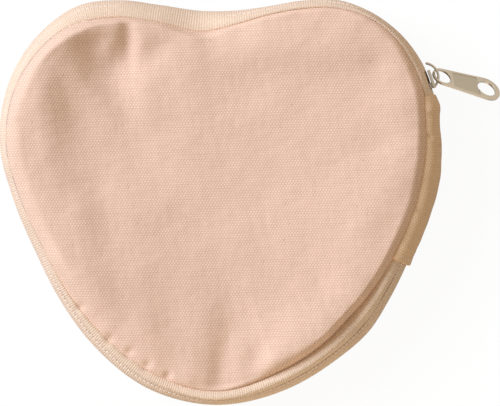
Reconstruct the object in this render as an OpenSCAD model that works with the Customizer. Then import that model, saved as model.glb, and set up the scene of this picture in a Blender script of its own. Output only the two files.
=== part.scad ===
// Heart shaped purse of plain canvas: two heart panels joined by a zip that runs round almost the whole edge,
// with a folded canvas strip as the hinge on the right. It lies on its back panel, front panel up.

/* [Purse] */
// Width of the heart across both lobes
purse_w = 159.5; // [130:0.5:200]
// Height of the heart from the lobes to the tip
purse_h = 146; // [120:0.5:180]
// Thickness of the canvas panels
panel_t = 0.9; // [0.6:0.1:1.4]
// Most that the front panel rises over its rounded shoulder, at the lower right
shoulder_rise = 3.75; // [2:0.05:4.5]
// Further height that the front panel gains just inside its shoulder
swell_rise = 1.7; // [0:0.1:3]
// How far the front panel sags at its middle
middle_sag = 3.2; // [0:0.1:5]
// Depth of the trough that the front panel has beside its left shoulder
trough_depth = 2.4; // [0:0.1:4]
// Height of the back seam over the flat of the back panel
back_rise = 1.5; // [1.4:0.1:2.5]

/* [Zip] */
// Width of each tape between its seam and the zip's middle line
tape_w = 12.5; // [10:0.1:16]
// Thickness of the tape
tape_t = 0.7; // [0.5:0.05:1]
// Distance from one turn of the coil to the next
coil_pitch = 1.73; // [1.5:0.01:2.2]
// Outer diameter of each coil
coil_d = 2.6; // [2.4:0.05:3.2]
// Thickness of the coil's wire across the row
coil_wire = 0.62; // [0.5:0.01:0.8]
// Thickness of a turn along the row
turn_t = 0.56; // [0.45:0.01:0.7]
// How far the turns of each row reach past the zip's middle line
coil_bite = 0.3; // [0.1:0.05:0.5]
// Diameter of the cord inside each coil
core_d = 1.1; // [0.8:0.05:1.2]

/* [Side strip] */
// Thickness of the canvas strip
strip_t = 0.9; // [0.6:0.1:1.4]
// Length of zip that each end of the strip covers
strip_lap = 8; // [5:0.5:12]
// Angle on the right lobe where the strip ends and the zip begins
strip_top_angle = 12.8; // [9:0.1:13.5]
// Length of the strip along the edge
strip_l = 63.5; // [50:0.5:75]

/* [Bindings] */
// Width of the binding on each inner seam
binding_w = 4.2; // [3:0.1:5]
// Thickness of the bound seam
binding_t = 1.5; // [1:0.1:2]

/* [Slider] */
// Length of the slider along the zip
slider_l = 6.8; // [6:0.1:9]
// Width of the slider at its nose, where the two rows enter
slider_nose_w = 8.6; // [8.4:0.1:10]
// Width of the slider at its tail
slider_tail_w = 7.3; // [7.1:0.1:8.4]
// Thickness of the slider's plates
plate_t = 0.9; // [0.7:0.05:1.2]
// Thickness of the slider's side walls
flange_t = 0.65; // [0.5:0.05:0.8]
// Width of the wedge that parts the rows
wedge_w = 0.6; // [0.4:0.05:0.8]
// Diameter of the crown's wire
crown_wire = 0.9; // [0.7:0.05:1.1]
// Bend radius of the crown
crown_r = 5.0; // [4.5:0.1:6]
// Height of the crown's middle line over the outer plate
crown_h = 2.4; // [2.2:0.05:3.2]
// Angle on the right lobe where the closed slider stands
slider_angle = 19.9; // [18.5:0.1:22]

/* [Pull] */
// Length of the pull from its eye to its round end
pull_l = 27.2; // [24:0.1:34]
// Thickness of the pull
pull_t = 0.9; // [0.7:0.05:1]
// Width of the pull's round end
pull_end_w = 10.8; // [9.5:0.1:12]
// Diameter of the eye that hangs on the crown
eye_d = 6.3; // [6.2:0.05:7]
// Width of the ring round the eye
eye_rail = 0.85; // [0.7:0.05:1]
// Diameter of the hole in the round end
pull_hole_d = 7; // [5:0.1:7.5]
// Depth of the panel sunk in each face
recess_d = 0.2; // [0.1:0.05:0.3]

/* [Hidden] */
$fn = 48;

canvas_colour = [0.90, 0.77, 0.69];
shade_colour = [0.78, 0.64, 0.52];
tape_colour = [0.93, 0.82, 0.73];
coil_colour = [0.88, 0.79, 0.68];
metal_colour = [0.76, 0.73, 0.68];

// Clearances
seam_gap = 0.3;
coil_gap = 0.35;
run_gap = 0.3;
flange_gap = 0.95;
overrun = 0.5;

// Places on the right lobe, whose edge is a true arc so that the slider can run round it
lobe_share = [0.2044, 0.1979];
lobe_start_share = [0.4863, 0.1872];
lobe_c = [lobe_share.x * purse_w, lobe_share.y * purse_h];
lobe_r = norm([lobe_start_share.x * purse_w, lobe_start_share.y * purse_h] - lobe_c);
lobe_first = -2;
lobe_step = 16;
lobe_knots = 6;

// How far the front seam lies inside the edge, in plan, as shares of the tape's width, round the lobe's arc
lobe_inset_shares = [0.37, 0.34, 0.31, 0.22, 0.2, 0.27];

// There the front panel's shoulder has these shares of its full rise
lobe_shoulder_shares = [0.67, 0.63, 0.57, 0.43, 0.4, 0.37];

// The rest of the edge, anticlockwise from the right lobe: shares of the width and height, the inset and the
// shoulder's share
edge_shares = [[0.1771, 0.4973, 0.26, 0.33], [0.1030, 0.4835, 0.27, 0.33], [0.0320, 0.4735, 0.42, 0.33],
               [-0.0372, 0.4720, 0.62, 0.33], [-0.1388, 0.4870, 0.53, 0.33], [-0.2290, 0.4990, 0.53, 0.3],
               [-0.3194, 0.4870, 0.55, 0.3], [-0.4097, 0.4180, 0.54, 0.27], [-0.4729, 0.3144, 0.46, 0.23],
               [-0.4990, 0.2034, 0.40, 0.2], [-0.4990, 0.1295, 0.38, 0.2], [-0.4729, 0.0185, 0.38, 0.2],
               [-0.4164, -0.1295, 0.40, 0.2], [-0.3645, -0.2404, 0.45, 0.2], [-0.2900, -0.3514, 0.50, 0.23],
               [-0.1591, -0.4623, 0.48, 0.3], [-0.0147, -0.4990, 0.40, 0.43], [0.1433, -0.4623, 0.42, 0.67],
               [0.2584, -0.3884, 0.60, 0.9], [0.3352, -0.3144, 0.70, 1], [0.3780, -0.2404, 0.58, 1],
               [0.4435, -0.0875, 0.47, 0.87], [0.4729, -0.0062, 0.49, 0.8], [0.4886, 0.0925, 0.46, 0.73]];
back_inset_share = 0.28;

// The point that every panel's rings close in on, and the mean seam height there
middle_share = [-0.01, 0.05];
middle_height_share = 0.85;
middle = [middle_share.x * purse_w, middle_share.y * purse_h];

// A closed curve through the knots, each with its place and the seam's inset
knots = concat(
    [for (i = [0:lobe_knots - 1])
        concat(lobe_c + lobe_r * [cos(lobe_first + i * lobe_step), sin(lobe_first + i * lobe_step)],
               lobe_inset_shares[i] * tape_w, lobe_shoulder_shares[i] * shoulder_rise)],
    [for (e = edge_shares) [e.x * purse_w, e.y * purse_h, e.z * tape_w, e[3] * shoulder_rise]]);
knot_n = len(knots);
function flat(p) = [p.x, p.y];
function knot(i) = knots[(i + knot_n) % knot_n];
function chord(i) = norm(flat(knot(i + 1)) - flat(knot(i)));
function slope(i) = (knot(i) - knot(i - 1)) / chord(i - 1)
    - (knot(i + 1) - knot(i - 1)) / (chord(i - 1) + chord(i)) + (knot(i + 1) - knot(i)) / chord(i);
function between(i, t) = (2 * t^3 - 3 * t^2 + 1) * knot(i) + (t^3 - 2 * t^2 + t) * chord(i) * slope(i)
    + (3 * t^2 - 2 * t^3) * knot(i + 1) + (t^3 - t^2) * chord(i) * slope(i + 1);

// The same curve by distance along it, from the right lobe's first knot, anticlockwise
fine = 8;
edge = [for (i = [0:knot_n - 1]) for (j = [0:fine - 1]) between(i, j / fine)];
edge_n = len(edge);
function edge_step(i) = norm(flat(edge[(i + 1) % edge_n]) - flat(edge[i % edge_n]));
edge_cum = [for (i = 0, a = 0; i <= edge_n; a = a + edge_step(i), i = i + 1) a];
edge_l = edge_cum[edge_n];
edge_xs = [for (i = [0:edge_n]) [edge_cum[i], edge[i % edge_n].x]];
edge_ys = [for (i = [0:edge_n]) [edge_cum[i], edge[i % edge_n].y]];
edge_is = [for (i = [0:edge_n]) [edge_cum[i], edge[i % edge_n].z]];
edge_rs = [for (i = [0:edge_n]) [edge_cum[i], edge[i % edge_n][3]]];
function wrapped(s) = s - edge_l * floor(s / edge_l);
function at(s) = let (u = wrapped(s)) [lookup(u, edge_xs), lookup(u, edge_ys)];
function front_inset(s) = lookup(wrapped(s), edge_is);
function shoulder(s) = lookup(wrapped(s), edge_rs);
probe = tape_w / 8;
function along(s) = let (d = at(s + probe) - at(s - probe)) d / norm(d);
function outward(s) = let (t = along(s)) [t.y, -t.x];
function arc_at(angle) = lobe_r * (angle - lobe_first) * PI / 180;

// The tape's section is a quarter ellipse of constant length, upright at the zip and level at the seam
function quarter(a, b) = PI / 4 * (3 * (a + b) - sqrt((3 * a + b) * (a + 3 * b)));
function rise(a, low = 0, high = tape_w, n = 18) = n == 0 ? (low + high) / 2
    : let (b = (low + high) / 2) quarter(a, b) > tape_w ? rise(a, low, b, n - 1) : rise(a, b, high, n - 1);
back_inset = back_inset_share * tape_w;
back_b = rise(back_inset);
zip_z = back_b + back_rise;
function seam_inset(s, side) = side > 0 ? front_inset(s) : back_inset;
function seam_b(s, side) = side > 0 ? rise(front_inset(s)) : back_b;

// A point on the tape's skin: phi is 0 at the zip and 90 at the seam, depth goes into the purse
function skin(s, side, phi, depth) = let (a = seam_inset(s, side), b = seam_b(s, side),
    m = norm([b * cos(phi), a * sin(phi)]), inset = a * (1 - cos(phi)) + depth * b * cos(phi) / m,
    up = b * sin(phi) - depth * a * sin(phi) / m)
    concat(at(s) - inset * outward(s), zip_z + side * up);

// Places along the zip
strip_top_s = arc_at(strip_top_angle);
strip_low_s = strip_top_s - strip_l + edge_l;
slider_s = arc_at(slider_angle);
zip_start = strip_top_s - strip_lap;
zip_end = strip_low_s + strip_lap;

// The tapes' edges leave room for the slider's wedge; the rows part there and stay apart as far as the strip
tape_gap = wedge_w + run_gap;
row_half = coil_d / 2 - coil_bite;
part_half = wedge_w / 2 + run_gap + coil_bite;
part_from_share = 0.16;
part_to_share = 0.3;
part_from = slider_s + slider_l * part_from_share;
part_to = slider_s - slider_l * part_to_share;
function smooth(t) = let (u = min(1, max(0, t))) u * u * (3 - 2 * u);
function parted(s) = s > edge_l / 2 ? 0 : part_half * smooth((part_from - s) / (part_from - part_to));

// Solids
function ring_faces(n, k, closed) = [for (i = [0:(closed ? n - 1 : n - 2)]) for (j = [0:k - 1])
    let (a = i * k + j, b = i * k + (j + 1) % k, c = (i + 1) % n * k + j, d = (i + 1) % n * k + (j + 1) % k)
    each [[a, c, b], [b, c, d]]];
function strip_cap(k, at, flip) = [for (j = [0:k / 2 - 2])
    let (a = at + j, b = at + j + 1, c = at + k - 2 - j, d = at + k - 1 - j)
    each flip ? [[a, c, b], [a, d, c]] : [[a, b, c], [a, c, d]]];

// A band of cloth along the edge, whose rings run out along one face and back along the other
module band(rings, closed, mirrored) {
    n = len(rings);
    k = len(rings[0]);
    faces = closed ? ring_faces(n, k, true)
        : concat(ring_faces(n, k, false), strip_cap(k, 0, false), strip_cap(k, (n - 1) * k, true));
    polyhedron([for (r = rings) each r], mirrored ? [for (f = faces) [f[0], f[2], f[1]]] : faces);
}

// A cloth panel: rings of points that close in on one middle point, on its outer and inner faces
module panel_solid(outer, inner, outer_mid, inner_mid, mirrored) {
    rings = concat(outer, inner);
    m = len(rings);
    k = len(rings[0]);
    top = m * k;
    faces = concat(
        [for (i = [0:m - 1]) if (i != len(outer) - 1 && i != m - 1) for (j = [0:k - 1])
            let (a = i * k + j, b = i * k + (j + 1) % k, c = a + k, d = b + k)
            each i < len(outer) ? [[a, b, c], [b, d, c]] : [[a, c, b], [b, c, d]]],
        [for (j = [0:k - 1]) let (b = (j + 1) % k) each
            [[(len(outer) - 1) * k + j, (len(outer) - 1) * k + b, top],
             [(m - 1) * k + b, (m - 1) * k + j, top + 1],
             [j, len(outer) * k + j, b], [b, len(outer) * k + j, len(outer) * k + b]]]);
    polyhedron(concat([for (r = rings) each r], [outer_mid, inner_mid]),
        mirrored ? faces : [for (f = faces) [f[0], f[2], f[1]]]);
}

panel_n = 84;
panel_s = [for (i = [0:panel_n - 1]) i * edge_l / panel_n];

// Rings of a panel, each by its distance inside the seam: a few close to the seam, then shares of the way in
shoulder_run_share = 0.66;
shoulder_run = shoulder_rise * shoulder_run_share;
near_shares = [0, 0.3, 1.1];
far_shares = [0.1, 0.22, 0.36, 0.54, 0.78];
function seam_point(s, side) = flat(skin(s, side, 90, 0)) - seam_gap * outward(s);
function inward_at(s, side, near, far) = let (p = seam_point(s, side), l = norm(middle - p),
    d = near * shoulder_run + far * (l - near * shoulder_run)) p + (middle - p) * d / l;

// Long soft forms of the front panel: a height, a width and the places that each runs through, as shares
right_ridge_rise = 1.5;
right_ridge_w = 14;
right_ridge_shares = [[0.398, 0.228], [0.407, 0.055], [0.358, -0.129], [0.267, -0.277], [0.155, -0.388]];
left_ridge_rise = 1;
left_ridge_w = 9;
left_ridge_shares = [[-0.414, 0.302], [-0.425, 0.154], [-0.376, -0.031], [-0.308, -0.191], [-0.229, -0.309]];
trough_w = 9;
trough_shares = [[-0.27, 0.411], [-0.319, 0.356], [-0.337, 0.272], [-0.333, 0.166], [-0.31, 0.055]];
forms = [[right_ridge_rise, right_ridge_w, right_ridge_shares],
         [left_ridge_rise, left_ridge_w, left_ridge_shares],
         [-trough_depth, trough_w, trough_shares]];
function placed(q) = [q.x * purse_w, q.y * purse_h];
function beside(p, a, b) = let (t = min(1, max(0, (p - a) * (b - a) / ((b - a) * (b - a)))))
    norm(p - a - t * (b - a));
function form_at(p, f) = f[0] * exp(-(min([for (i = [1:len(f[2]) - 1])
    beside(p, placed(f[2][i - 1]), placed(f[2][i]))]) / f[1])^2);
function total(v, i = 0) = i == len(v) ? 0 : v[i] + total(v, i + 1);

// The front panel stands a little over its seam, rounds over its shoulder, swells and then sags to its middle
shoulder_start_share = 0.3;
shoulder_rate = 2.4;
shoulder_mean_share = 0.42;
swell_reach_share = 0.16;
seam_reach_share = 0.65;
function front_z(s, near, far) = let (g = smooth(far), h = smooth(far / seam_reach_share),
    p = inward_at(s, 1, near, far),
    turned = 1 - (1 - shoulder_start_share) * exp(-shoulder_rate * near),
    middle_b = middle_height_share * tape_w + shoulder_mean_share * shoulder_rise)
    zip_z + (rise(front_inset(s)) + shoulder(s) * turned) * (1 - h) + middle_b * h
    + swell_rise * (1 - exp(-far / swell_reach_share)) - middle_sag * g
    + total([for (f = forms) form_at(p, f)]) * smooth(near);

module front_panel() {
    last = len(near_shares) - 1;
    inner_step = panel_t / shoulder_run;
    outer = concat(
        [[for (s = panel_s) concat(inward_at(s, 1, 0, 0), skin(s, 1, 90, tape_t).z)]],
        [for (near = near_shares) [for (s = panel_s) concat(inward_at(s, 1, near, 0), front_z(s, near, 0))]],
        [for (far = far_shares) [for (s = panel_s)
            concat(inward_at(s, 1, near_shares[last], far), front_z(s, near_shares[last], far))]]);
    inner = concat(
        [[for (s = panel_s) concat(inward_at(s, 1, inner_step, 0), skin(s, 1, 90, tape_t).z)]],
        [for (near = near_shares) [for (s = panel_s)
            concat(inward_at(s, 1, near + inner_step, 0), front_z(s, near, 0) - panel_t)]],
        [for (far = far_shares) [for (s = panel_s)
            concat(inward_at(s, 1, near_shares[last] + inner_step, far),
                   front_z(s, near_shares[last], far) - panel_t)]]);
    top = front_z(0, near_shares[last], 1);
    color(canvas_colour)
        panel_solid(outer, inner, concat(middle, top), concat(middle, top - panel_t), true);
}

// The back panel turns up at its edge to meet the seam and lies flat inside that
back_near_shares = [0, 0.35, 1.1];
back_lift_shares = [0, 0.12, 0];
module back_panel() {
    step = panel_t / shoulder_run;
    function ring(i, depth) = [for (s = panel_s)
        concat(inward_at(s, -1, back_near_shares[i] + depth * step, 0),
               i == 0 ? back_rise + tape_t : back_lift_shares[i] * back_rise + depth * panel_t)];
    last = len(back_near_shares) - 1;
    outer = [for (i = [0:last]) ring(i, 0)];
    inner = [for (i = [0:last]) ring(i, 1)];
    color(canvas_colour) panel_solid(outer, inner, concat(middle, 0), concat(middle, panel_t), false);
}

tape_steps = 5;
tape_phis = [for (i = [0:tape_steps]) i / tape_steps];
function tape_ring(s, side) = let (low = asin((tape_gap / 2 + parted(s)) / seam_b(s, side)))
    concat([for (u = tape_phis) skin(s, side, low + (90 - low) * u, 0)],
           [for (u = tape_phis) skin(s, side, low + (90 - low) * (1 - u), tape_t)]);

// Stations along the zip: close together where the rows part, wider apart where they are meshed
parted_n = 12;
meshed_n = 72;
meshed_s = part_from + coil_pitch;
zip_span = concat([for (i = [0:parted_n - 1]) zip_start + i * (meshed_s - zip_start) / parted_n],
    [for (i = [0:meshed_n]) meshed_s + i * (zip_end - meshed_s) / meshed_n]);
module tape(side) {
    color(tape_colour) band([for (s = zip_span) tape_ring(s, side)], false, side < 0);
}
module back_tape() tape(-1);
module front_tape() tape(1);

// The coil stands inside the tapes, each turn square to the edge, with its cord through all the turns
coil_inset = tape_t + coil_gap + coil_d / 2;
first_turn_share = 0.5;
turn_n = floor((zip_end - zip_start) / coil_pitch) - 1;
function row_z(s, side) = zip_z + side * (row_half + parted(s));
module turn() {
    linear_extrude(turn_t, center = true) difference() {
        circle(d = coil_d);
        circle(d = coil_d - 2 * coil_wire);
    }
}
module coil(side) {
    first = zip_start + coil_pitch * first_turn_share * (1 + side * first_turn_share);
    color(coil_colour) for (i = [0:turn_n - 1]) {
        s = first + i * coil_pitch;
        p = at(s) - coil_inset * outward(s);
        translate([p.x, p.y, row_z(s, side)])
            rotate([90, 0, atan2(outward(s).y, outward(s).x)]) turn();
    }
}
module back_coil() coil(-1);
module front_coil() coil(1);

core_sides = 6;
module core_cord(side) {
    rings = [for (s = zip_span) let (p = at(s) - coil_inset * outward(s))
        [for (j = [0:core_sides - 1]) let (a = 360 * j / core_sides, r = core_d / 2)
            concat(p + r * cos(a) * outward(s), row_z(s, side) + r * sin(a))]];
    caps = concat([for (j = [1:core_sides - 2]) [0, j, j + 1]],
        [for (j = [1:core_sides - 2]) let (b = (len(rings) - 1) * core_sides) [b, b + j + 1, b + j]]);
    color(coil_colour) polyhedron([for (r = rings) each r],
        concat(ring_faces(len(rings), core_sides, false), caps));
}
module back_core_cord() core_cord(-1);
module front_core_cord() core_cord(1);

// The strip bridges the gap between the zip's two ends, from seam to seam, and laps over both ends
strip_n = 18;
strip_phis = [for (i = [0:4]) 90 - 22.5 * i];
module side_strip() {
    span = [for (i = [0:strip_n - 1]) strip_low_s - edge_l + i * strip_l / (strip_n - 1)];
    function face(s, depth) = concat([for (p = strip_phis) skin(s, -1, p, depth)],
        [for (i = [len(strip_phis) - 2:-1:0]) skin(s, 1, strip_phis[i], depth)]);
    function back_way(l) = [for (i = [len(l) - 1:-1:0]) l[i]];
    rings = [for (s = span) concat(face(s, -seam_gap - strip_t), back_way(face(s, -seam_gap)))];
    color(shade_colour) band(rings, false, false);
}

// The seam allowances inside are folded in a binding that leans in from each seam
binding_lean = 50;
module binding(side) {
    rings = [for (s = panel_s) let (start = skin(s, side, 90, tape_t + seam_gap), n = outward(s),
        root = seam_gap + binding_t * sin(binding_lean))
        [for (q = [[0, 0], [1, 0], [1, 1], [0, 1]])
            let (u = q.x * binding_w, v = q.y * binding_t,
                inset = root + u * cos(binding_lean) - v * sin(binding_lean),
                drop = 2 * seam_gap + u * sin(binding_lean) + v * cos(binding_lean))
            concat(flat(start) - inset * n, start.z - side * drop)]];
    color(tape_colour) band(rings, true, side > 0);
}
module back_binding() binding(-1);
module front_binding() binding(1);

// The slider's own frame: x out of the purse from the tape's face, y along the zip to its tail, z across it
module at_slider() {
    translate([lobe_c.x, lobe_c.y, zip_z]) rotate(slider_angle) translate([lobe_r, 0, 0]) children();
}

// A flat shape with round corners about the given centres, listed anticlockwise
module rounded(centres, r) {
    n = len(centres);
    polygon([for (i = [0:n - 1]) let (a = centres[i], b = centres[(i + 1) % n], d = (b - a) / norm(b - a),
        out = r * [d.y, -d.x]) each [a + out, b + out]]);
    for (c = centres) translate(c) circle(r);
}

// Extrudes a shape drawn along and across the zip from one depth out to another
module from_to(low, high) {
    translate([low, 0, 0]) rotate([90, 0, 90]) linear_extrude(high - low) children();
}

plate_corner = 1.3;
module plate_shape() {
    y = slider_l / 2 - plate_corner;
    rounded([[-y, -slider_nose_w / 2 + plate_corner], [y, -slider_tail_w / 2 + plate_corner],
             [y, slider_tail_w / 2 - plate_corner], [-y, slider_nose_w / 2 - plate_corner]], plate_corner);
}
outer_plate_x = run_gap;
crown_foot_x = outer_plate_x + plate_t;
inner_face_x = -coil_inset - coil_d / 2 - run_gap;
flange_top_x = -tape_t - flange_gap;

// The outline of one side wall: it follows the plate's edge from the nose to the tail
module flange_shape(side) {
    nose = side * slider_nose_w / 2;
    tail = side * slider_tail_w / 2;
    intersection() {
        plate_shape();
        polygon([[-slider_l, nose + side * flange_t], [-slider_l, nose - side * flange_t],
                 [-slider_l / 2, nose - side * flange_t], [slider_l / 2, tail - side * flange_t],
                 [slider_l, tail - side * flange_t], [slider_l, nose + side * flange_t]]);
    }
}

wedge_l_share = 0.32;
wedge_l = slider_l * wedge_l_share;
crown_y_share = 0.22;
crown_c = [crown_foot_x + crown_h - crown_r, slider_l * crown_y_share];
crown_from = -59;
crown_to = 61;
module crown() {
    translate(crown_c) rotate(crown_from) rotate_extrude(angle = crown_to - crown_from)
        translate([crown_r, 0]) circle(d = crown_wire);
    translate(crown_c) rotate(crown_to) translate([crown_r, 0, 0]) sphere(d = crown_wire);
}

module slider_body() {
    color(metal_colour) at_slider() {
        from_to(outer_plate_x, crown_foot_x) plate_shape();
        from_to(inner_face_x - plate_t, inner_face_x) plate_shape();
        for (side = [-1, 1]) from_to(inner_face_x - plate_t, flange_top_x) flange_shape(side);
        from_to(inner_face_x - plate_t / 2, outer_plate_x + plate_t / 2)
            translate([-slider_l / 2, 0]) rounded([[wedge_w / 2, -wedge_w / 4], [wedge_l, 0],
                [wedge_w / 2, wedge_w / 4]], wedge_w / 4);
        crown();
    }
}

// The pull's own frame: x from its eye's outer rail to the round end, y across, z out of its face
eye_r = eye_d / 2 + eye_rail;
end_r = pull_end_w / 2;
eye_x = eye_r - eye_rail / 2;
end_x = pull_l - eye_rail / 2 - end_r;
hang_y_share = 0.18;
pull_hang = [crown_foot_x + eye_rail, slider_l * hang_y_share, 0];
pull_yaw_angle = -15;
pull_pitch_angle = 22.1;
pull_roll_angle = -49.2;
module pull_outline() {
    hull() {
        translate([eye_x, 0]) circle(eye_r);
        translate([end_x, 0]) circle(end_r);
    }
}
recess_rim = 1.1;
recess_corner = 0.5;
module recess_shape() {
    near = eye_x + eye_d / 2 + recess_rim;
    far = end_x - pull_hole_d / 2 - recess_rim;
    taper = (end_r - eye_r) / (end_x - eye_x);
    function half(x) = eye_r + (x - eye_x) * taper - recess_rim - recess_corner;
    rounded([[near + recess_corner, -half(near)], [far - recess_corner, -half(far)],
             [far - recess_corner, half(far)], [near + recess_corner, half(near)]], recess_corner);
}
module pull_tab() {
    color(metal_colour) at_slider() translate(pull_hang) rotate([0, 0, pull_yaw_angle - slider_angle])
        rotate([0, pull_pitch_angle, 0]) rotate([pull_roll_angle, 0, 0]) difference() {
            linear_extrude(pull_t, center = true) pull_outline();
            translate([eye_x, 0, 0]) cylinder(d = eye_d, h = pull_t + 2 * overrun, center = true);
            translate([end_x, 0, 0]) cylinder(d = pull_hole_d, h = pull_t + 2 * overrun, center = true);
            for (face = [0, 1]) mirror([0, 0, face])
                translate([0, 0, pull_t / 2 - recess_d]) linear_extrude(recess_d + overrun) recess_shape();
        }
}

back_panel();
front_panel();
back_tape();
front_tape();
back_coil();
front_coil();
back_core_cord();
front_core_cord();
side_strip();
back_binding();
front_binding();
slider_body();
pull_tab();
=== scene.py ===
"""Heart shaped purse of natural canvas, dressed for rendering over its construction model.

The purse lies on its back. Two canvas hearts are joined by a zip that runs round almost the whole edge, and a
folded canvas strip on the right is the hinge. Sizes are in millimetres until a mesh is made, in metres.
"""

import logging
import math
from dataclasses import dataclass
from enum import Enum
from typing import Sequence

import bpy
import numpy as np
from mathutils import Matrix, Vector

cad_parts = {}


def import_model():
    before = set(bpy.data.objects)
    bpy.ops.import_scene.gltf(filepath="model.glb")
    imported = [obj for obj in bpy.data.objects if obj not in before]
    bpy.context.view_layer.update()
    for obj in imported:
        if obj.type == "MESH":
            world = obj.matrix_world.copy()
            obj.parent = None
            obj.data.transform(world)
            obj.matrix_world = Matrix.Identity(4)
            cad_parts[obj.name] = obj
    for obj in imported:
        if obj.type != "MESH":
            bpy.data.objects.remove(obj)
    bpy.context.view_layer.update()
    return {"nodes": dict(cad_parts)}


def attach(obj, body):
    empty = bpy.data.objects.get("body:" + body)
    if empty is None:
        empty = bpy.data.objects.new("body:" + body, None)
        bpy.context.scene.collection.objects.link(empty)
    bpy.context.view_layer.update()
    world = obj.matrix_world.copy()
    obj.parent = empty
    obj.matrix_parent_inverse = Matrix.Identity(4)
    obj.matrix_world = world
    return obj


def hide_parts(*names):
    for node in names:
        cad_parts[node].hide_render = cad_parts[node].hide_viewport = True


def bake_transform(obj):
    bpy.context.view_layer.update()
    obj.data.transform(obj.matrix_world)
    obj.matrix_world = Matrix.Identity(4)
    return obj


LOG = logging.getLogger("purse")
MM = 0.001
PHOTO_PX = 0.36
PHOTO_ORIGIN = (221.5, 202.5)
TURN = 2 * math.pi
Array = np.ndarray
Place = tuple[float, float]
Triple = tuple[float, float, float]
Waves = tuple[int, float, float]
Socket = bpy.types.NodeSocket


def placed(points: Sequence[Place]) -> Array:
    """Turns places in the photograph, in pixels from its top left, into millimetres on the purse."""
    return (np.array(points, float) - PHOTO_ORIGIN) * (PHOTO_PX, -PHOTO_PX)


def smooth(t: Array) -> Array:
    """Rises smoothly from 0 to 1 as t does."""
    u = np.clip(t, 0, 1)
    return u * u * (3 - 2 * u)


def ramp(x: Array, start: float, reach: float) -> Array:
    """Rises smoothly from 0 to 1 over a reach from its start."""
    return smooth((x - start) / reach)


def bump(t: Array) -> Array:
    """A soft bump, 1 at t = 0 and next to nothing past 2 either way."""
    return np.exp(-t * t)


def near_to(points: Array, place: Array, width: float) -> Array:
    """A soft bump round one place in plan."""
    return bump(np.linalg.norm(points[..., :2] - place, axis=-1) / width)


def unit(v: Array) -> Array:
    """The same vectors, 1 long."""
    return v / np.linalg.norm(v, axis=-1, keepdims=True)


def run_along(points: Array) -> Array:
    """The distance to each point of a row, along the row."""
    return np.concatenate([[0], np.cumsum(np.linalg.norm(np.diff(points, axis=0), axis=1))])


class Ripples:
    """A field of soft random waves, the same each run."""

    count = 36

    def __init__(self, seed: int, shortest: float, longest: float) -> None:
        """Draws the waves.

        Args:
            seed: the random seed.
            shortest: the shortest wavelength, in millimetres.
            longest: the longest wavelength.
        """
        rng = np.random.default_rng(seed)
        length = shortest * (longest / shortest) ** rng.random(self.count)
        way = rng.random(self.count) * TURN
        self.k = np.stack([np.cos(way), np.sin(way)], 1) * (TURN / length)[:, None]
        self.phase = rng.random(self.count) * TURN
        self.size = length / np.sqrt((length**2).sum() / 2)

    def at(self, p: Array) -> Array:
        """The field's height, about 1 at its root mean square, at points of two coordinates."""
        return (self.size * np.cos(p @ self.k.T + self.phase)).sum(-1)

    def along(self, s: Array) -> Array:
        """The field's height at distances along a line."""
        return self.at(np.stack([s, np.zeros_like(s)], -1))


@dataclass(frozen=True)
class Fold:
    """A soft fold: places that it runs through from top to bottom, its height and its width on either side.

    Unless it is open it fades out at its ends, from a start and over a reach in shares of its length.
    """

    path: tuple[Place, ...]
    rise: float
    west: float
    east: float
    open: bool = False
    fade: Place = (-0.12, 0.4)

    def height(self, p: Array) -> Array:
        """Works out how far the fold lifts the cloth.

        Args:
            p: points in plan, in millimetres.

        Returns:
            The rise at each point.
        """
        line = placed(self.path)
        run = run_along(line)
        best = np.full(p.shape[:-1], np.inf)
        side, along = np.zeros_like(best), np.zeros_like(best)
        for a, step, start in zip(line[:-1], np.diff(line, axis=0), run):
            rel = p - a
            t = np.clip((rel @ step) / (step @ step), 0, 1)
            dist = np.linalg.norm(rel - t[..., None] * step, axis=-1)
            near = dist < best
            best = np.where(near, dist, best)
            side = np.where(near, step[0] * rel[..., 1] - step[1] * rel[..., 0], side)
            along = np.where(near, start + t * np.linalg.norm(step), along)
        width = np.where(side > 0, self.east, self.west) * PHOTO_PX
        to_end = np.minimum(along, run[-1] - along) / run[-1]
        ends = 1.0 if self.open else ramp(to_end, *self.fade)
        return self.rise * ends * bump(best / width)


@dataclass(frozen=True)
class Swell:
    """A soft oval swell or dent: its place, its rise, its half length and half width in pixels and its turn."""

    place: Place
    rise: float
    long: float
    wide: float
    turn: float

    def height(self, p: Array) -> Array:
        """Works out how far the swell lifts the cloth.

        Args:
            p: points in plan, in millimetres.

        Returns:
            The rise at each point.
        """
        a = math.radians(self.turn)
        rel = (p - placed([self.place])[0]) / PHOTO_PX
        u = (rel[..., 0] * math.cos(a) + rel[..., 1] * math.sin(a)) / self.long
        v = (rel[..., 1] * math.cos(a) - rel[..., 0] * math.sin(a)) / self.wide
        return self.rise * np.exp(-u * u - v * v)


class Half(Enum):
    """The two halves of the purse: the value is the way each leads from the zip, up or down."""

    FRONT = 1
    BACK = -1

    @property
    def word(self) -> str:
        """The half's name in the names of pieces."""
        return self.name.lower()

    @property
    def body(self) -> str:
        """The body that the half's pieces ride on."""
        return f"{self.word}_half"


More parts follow.
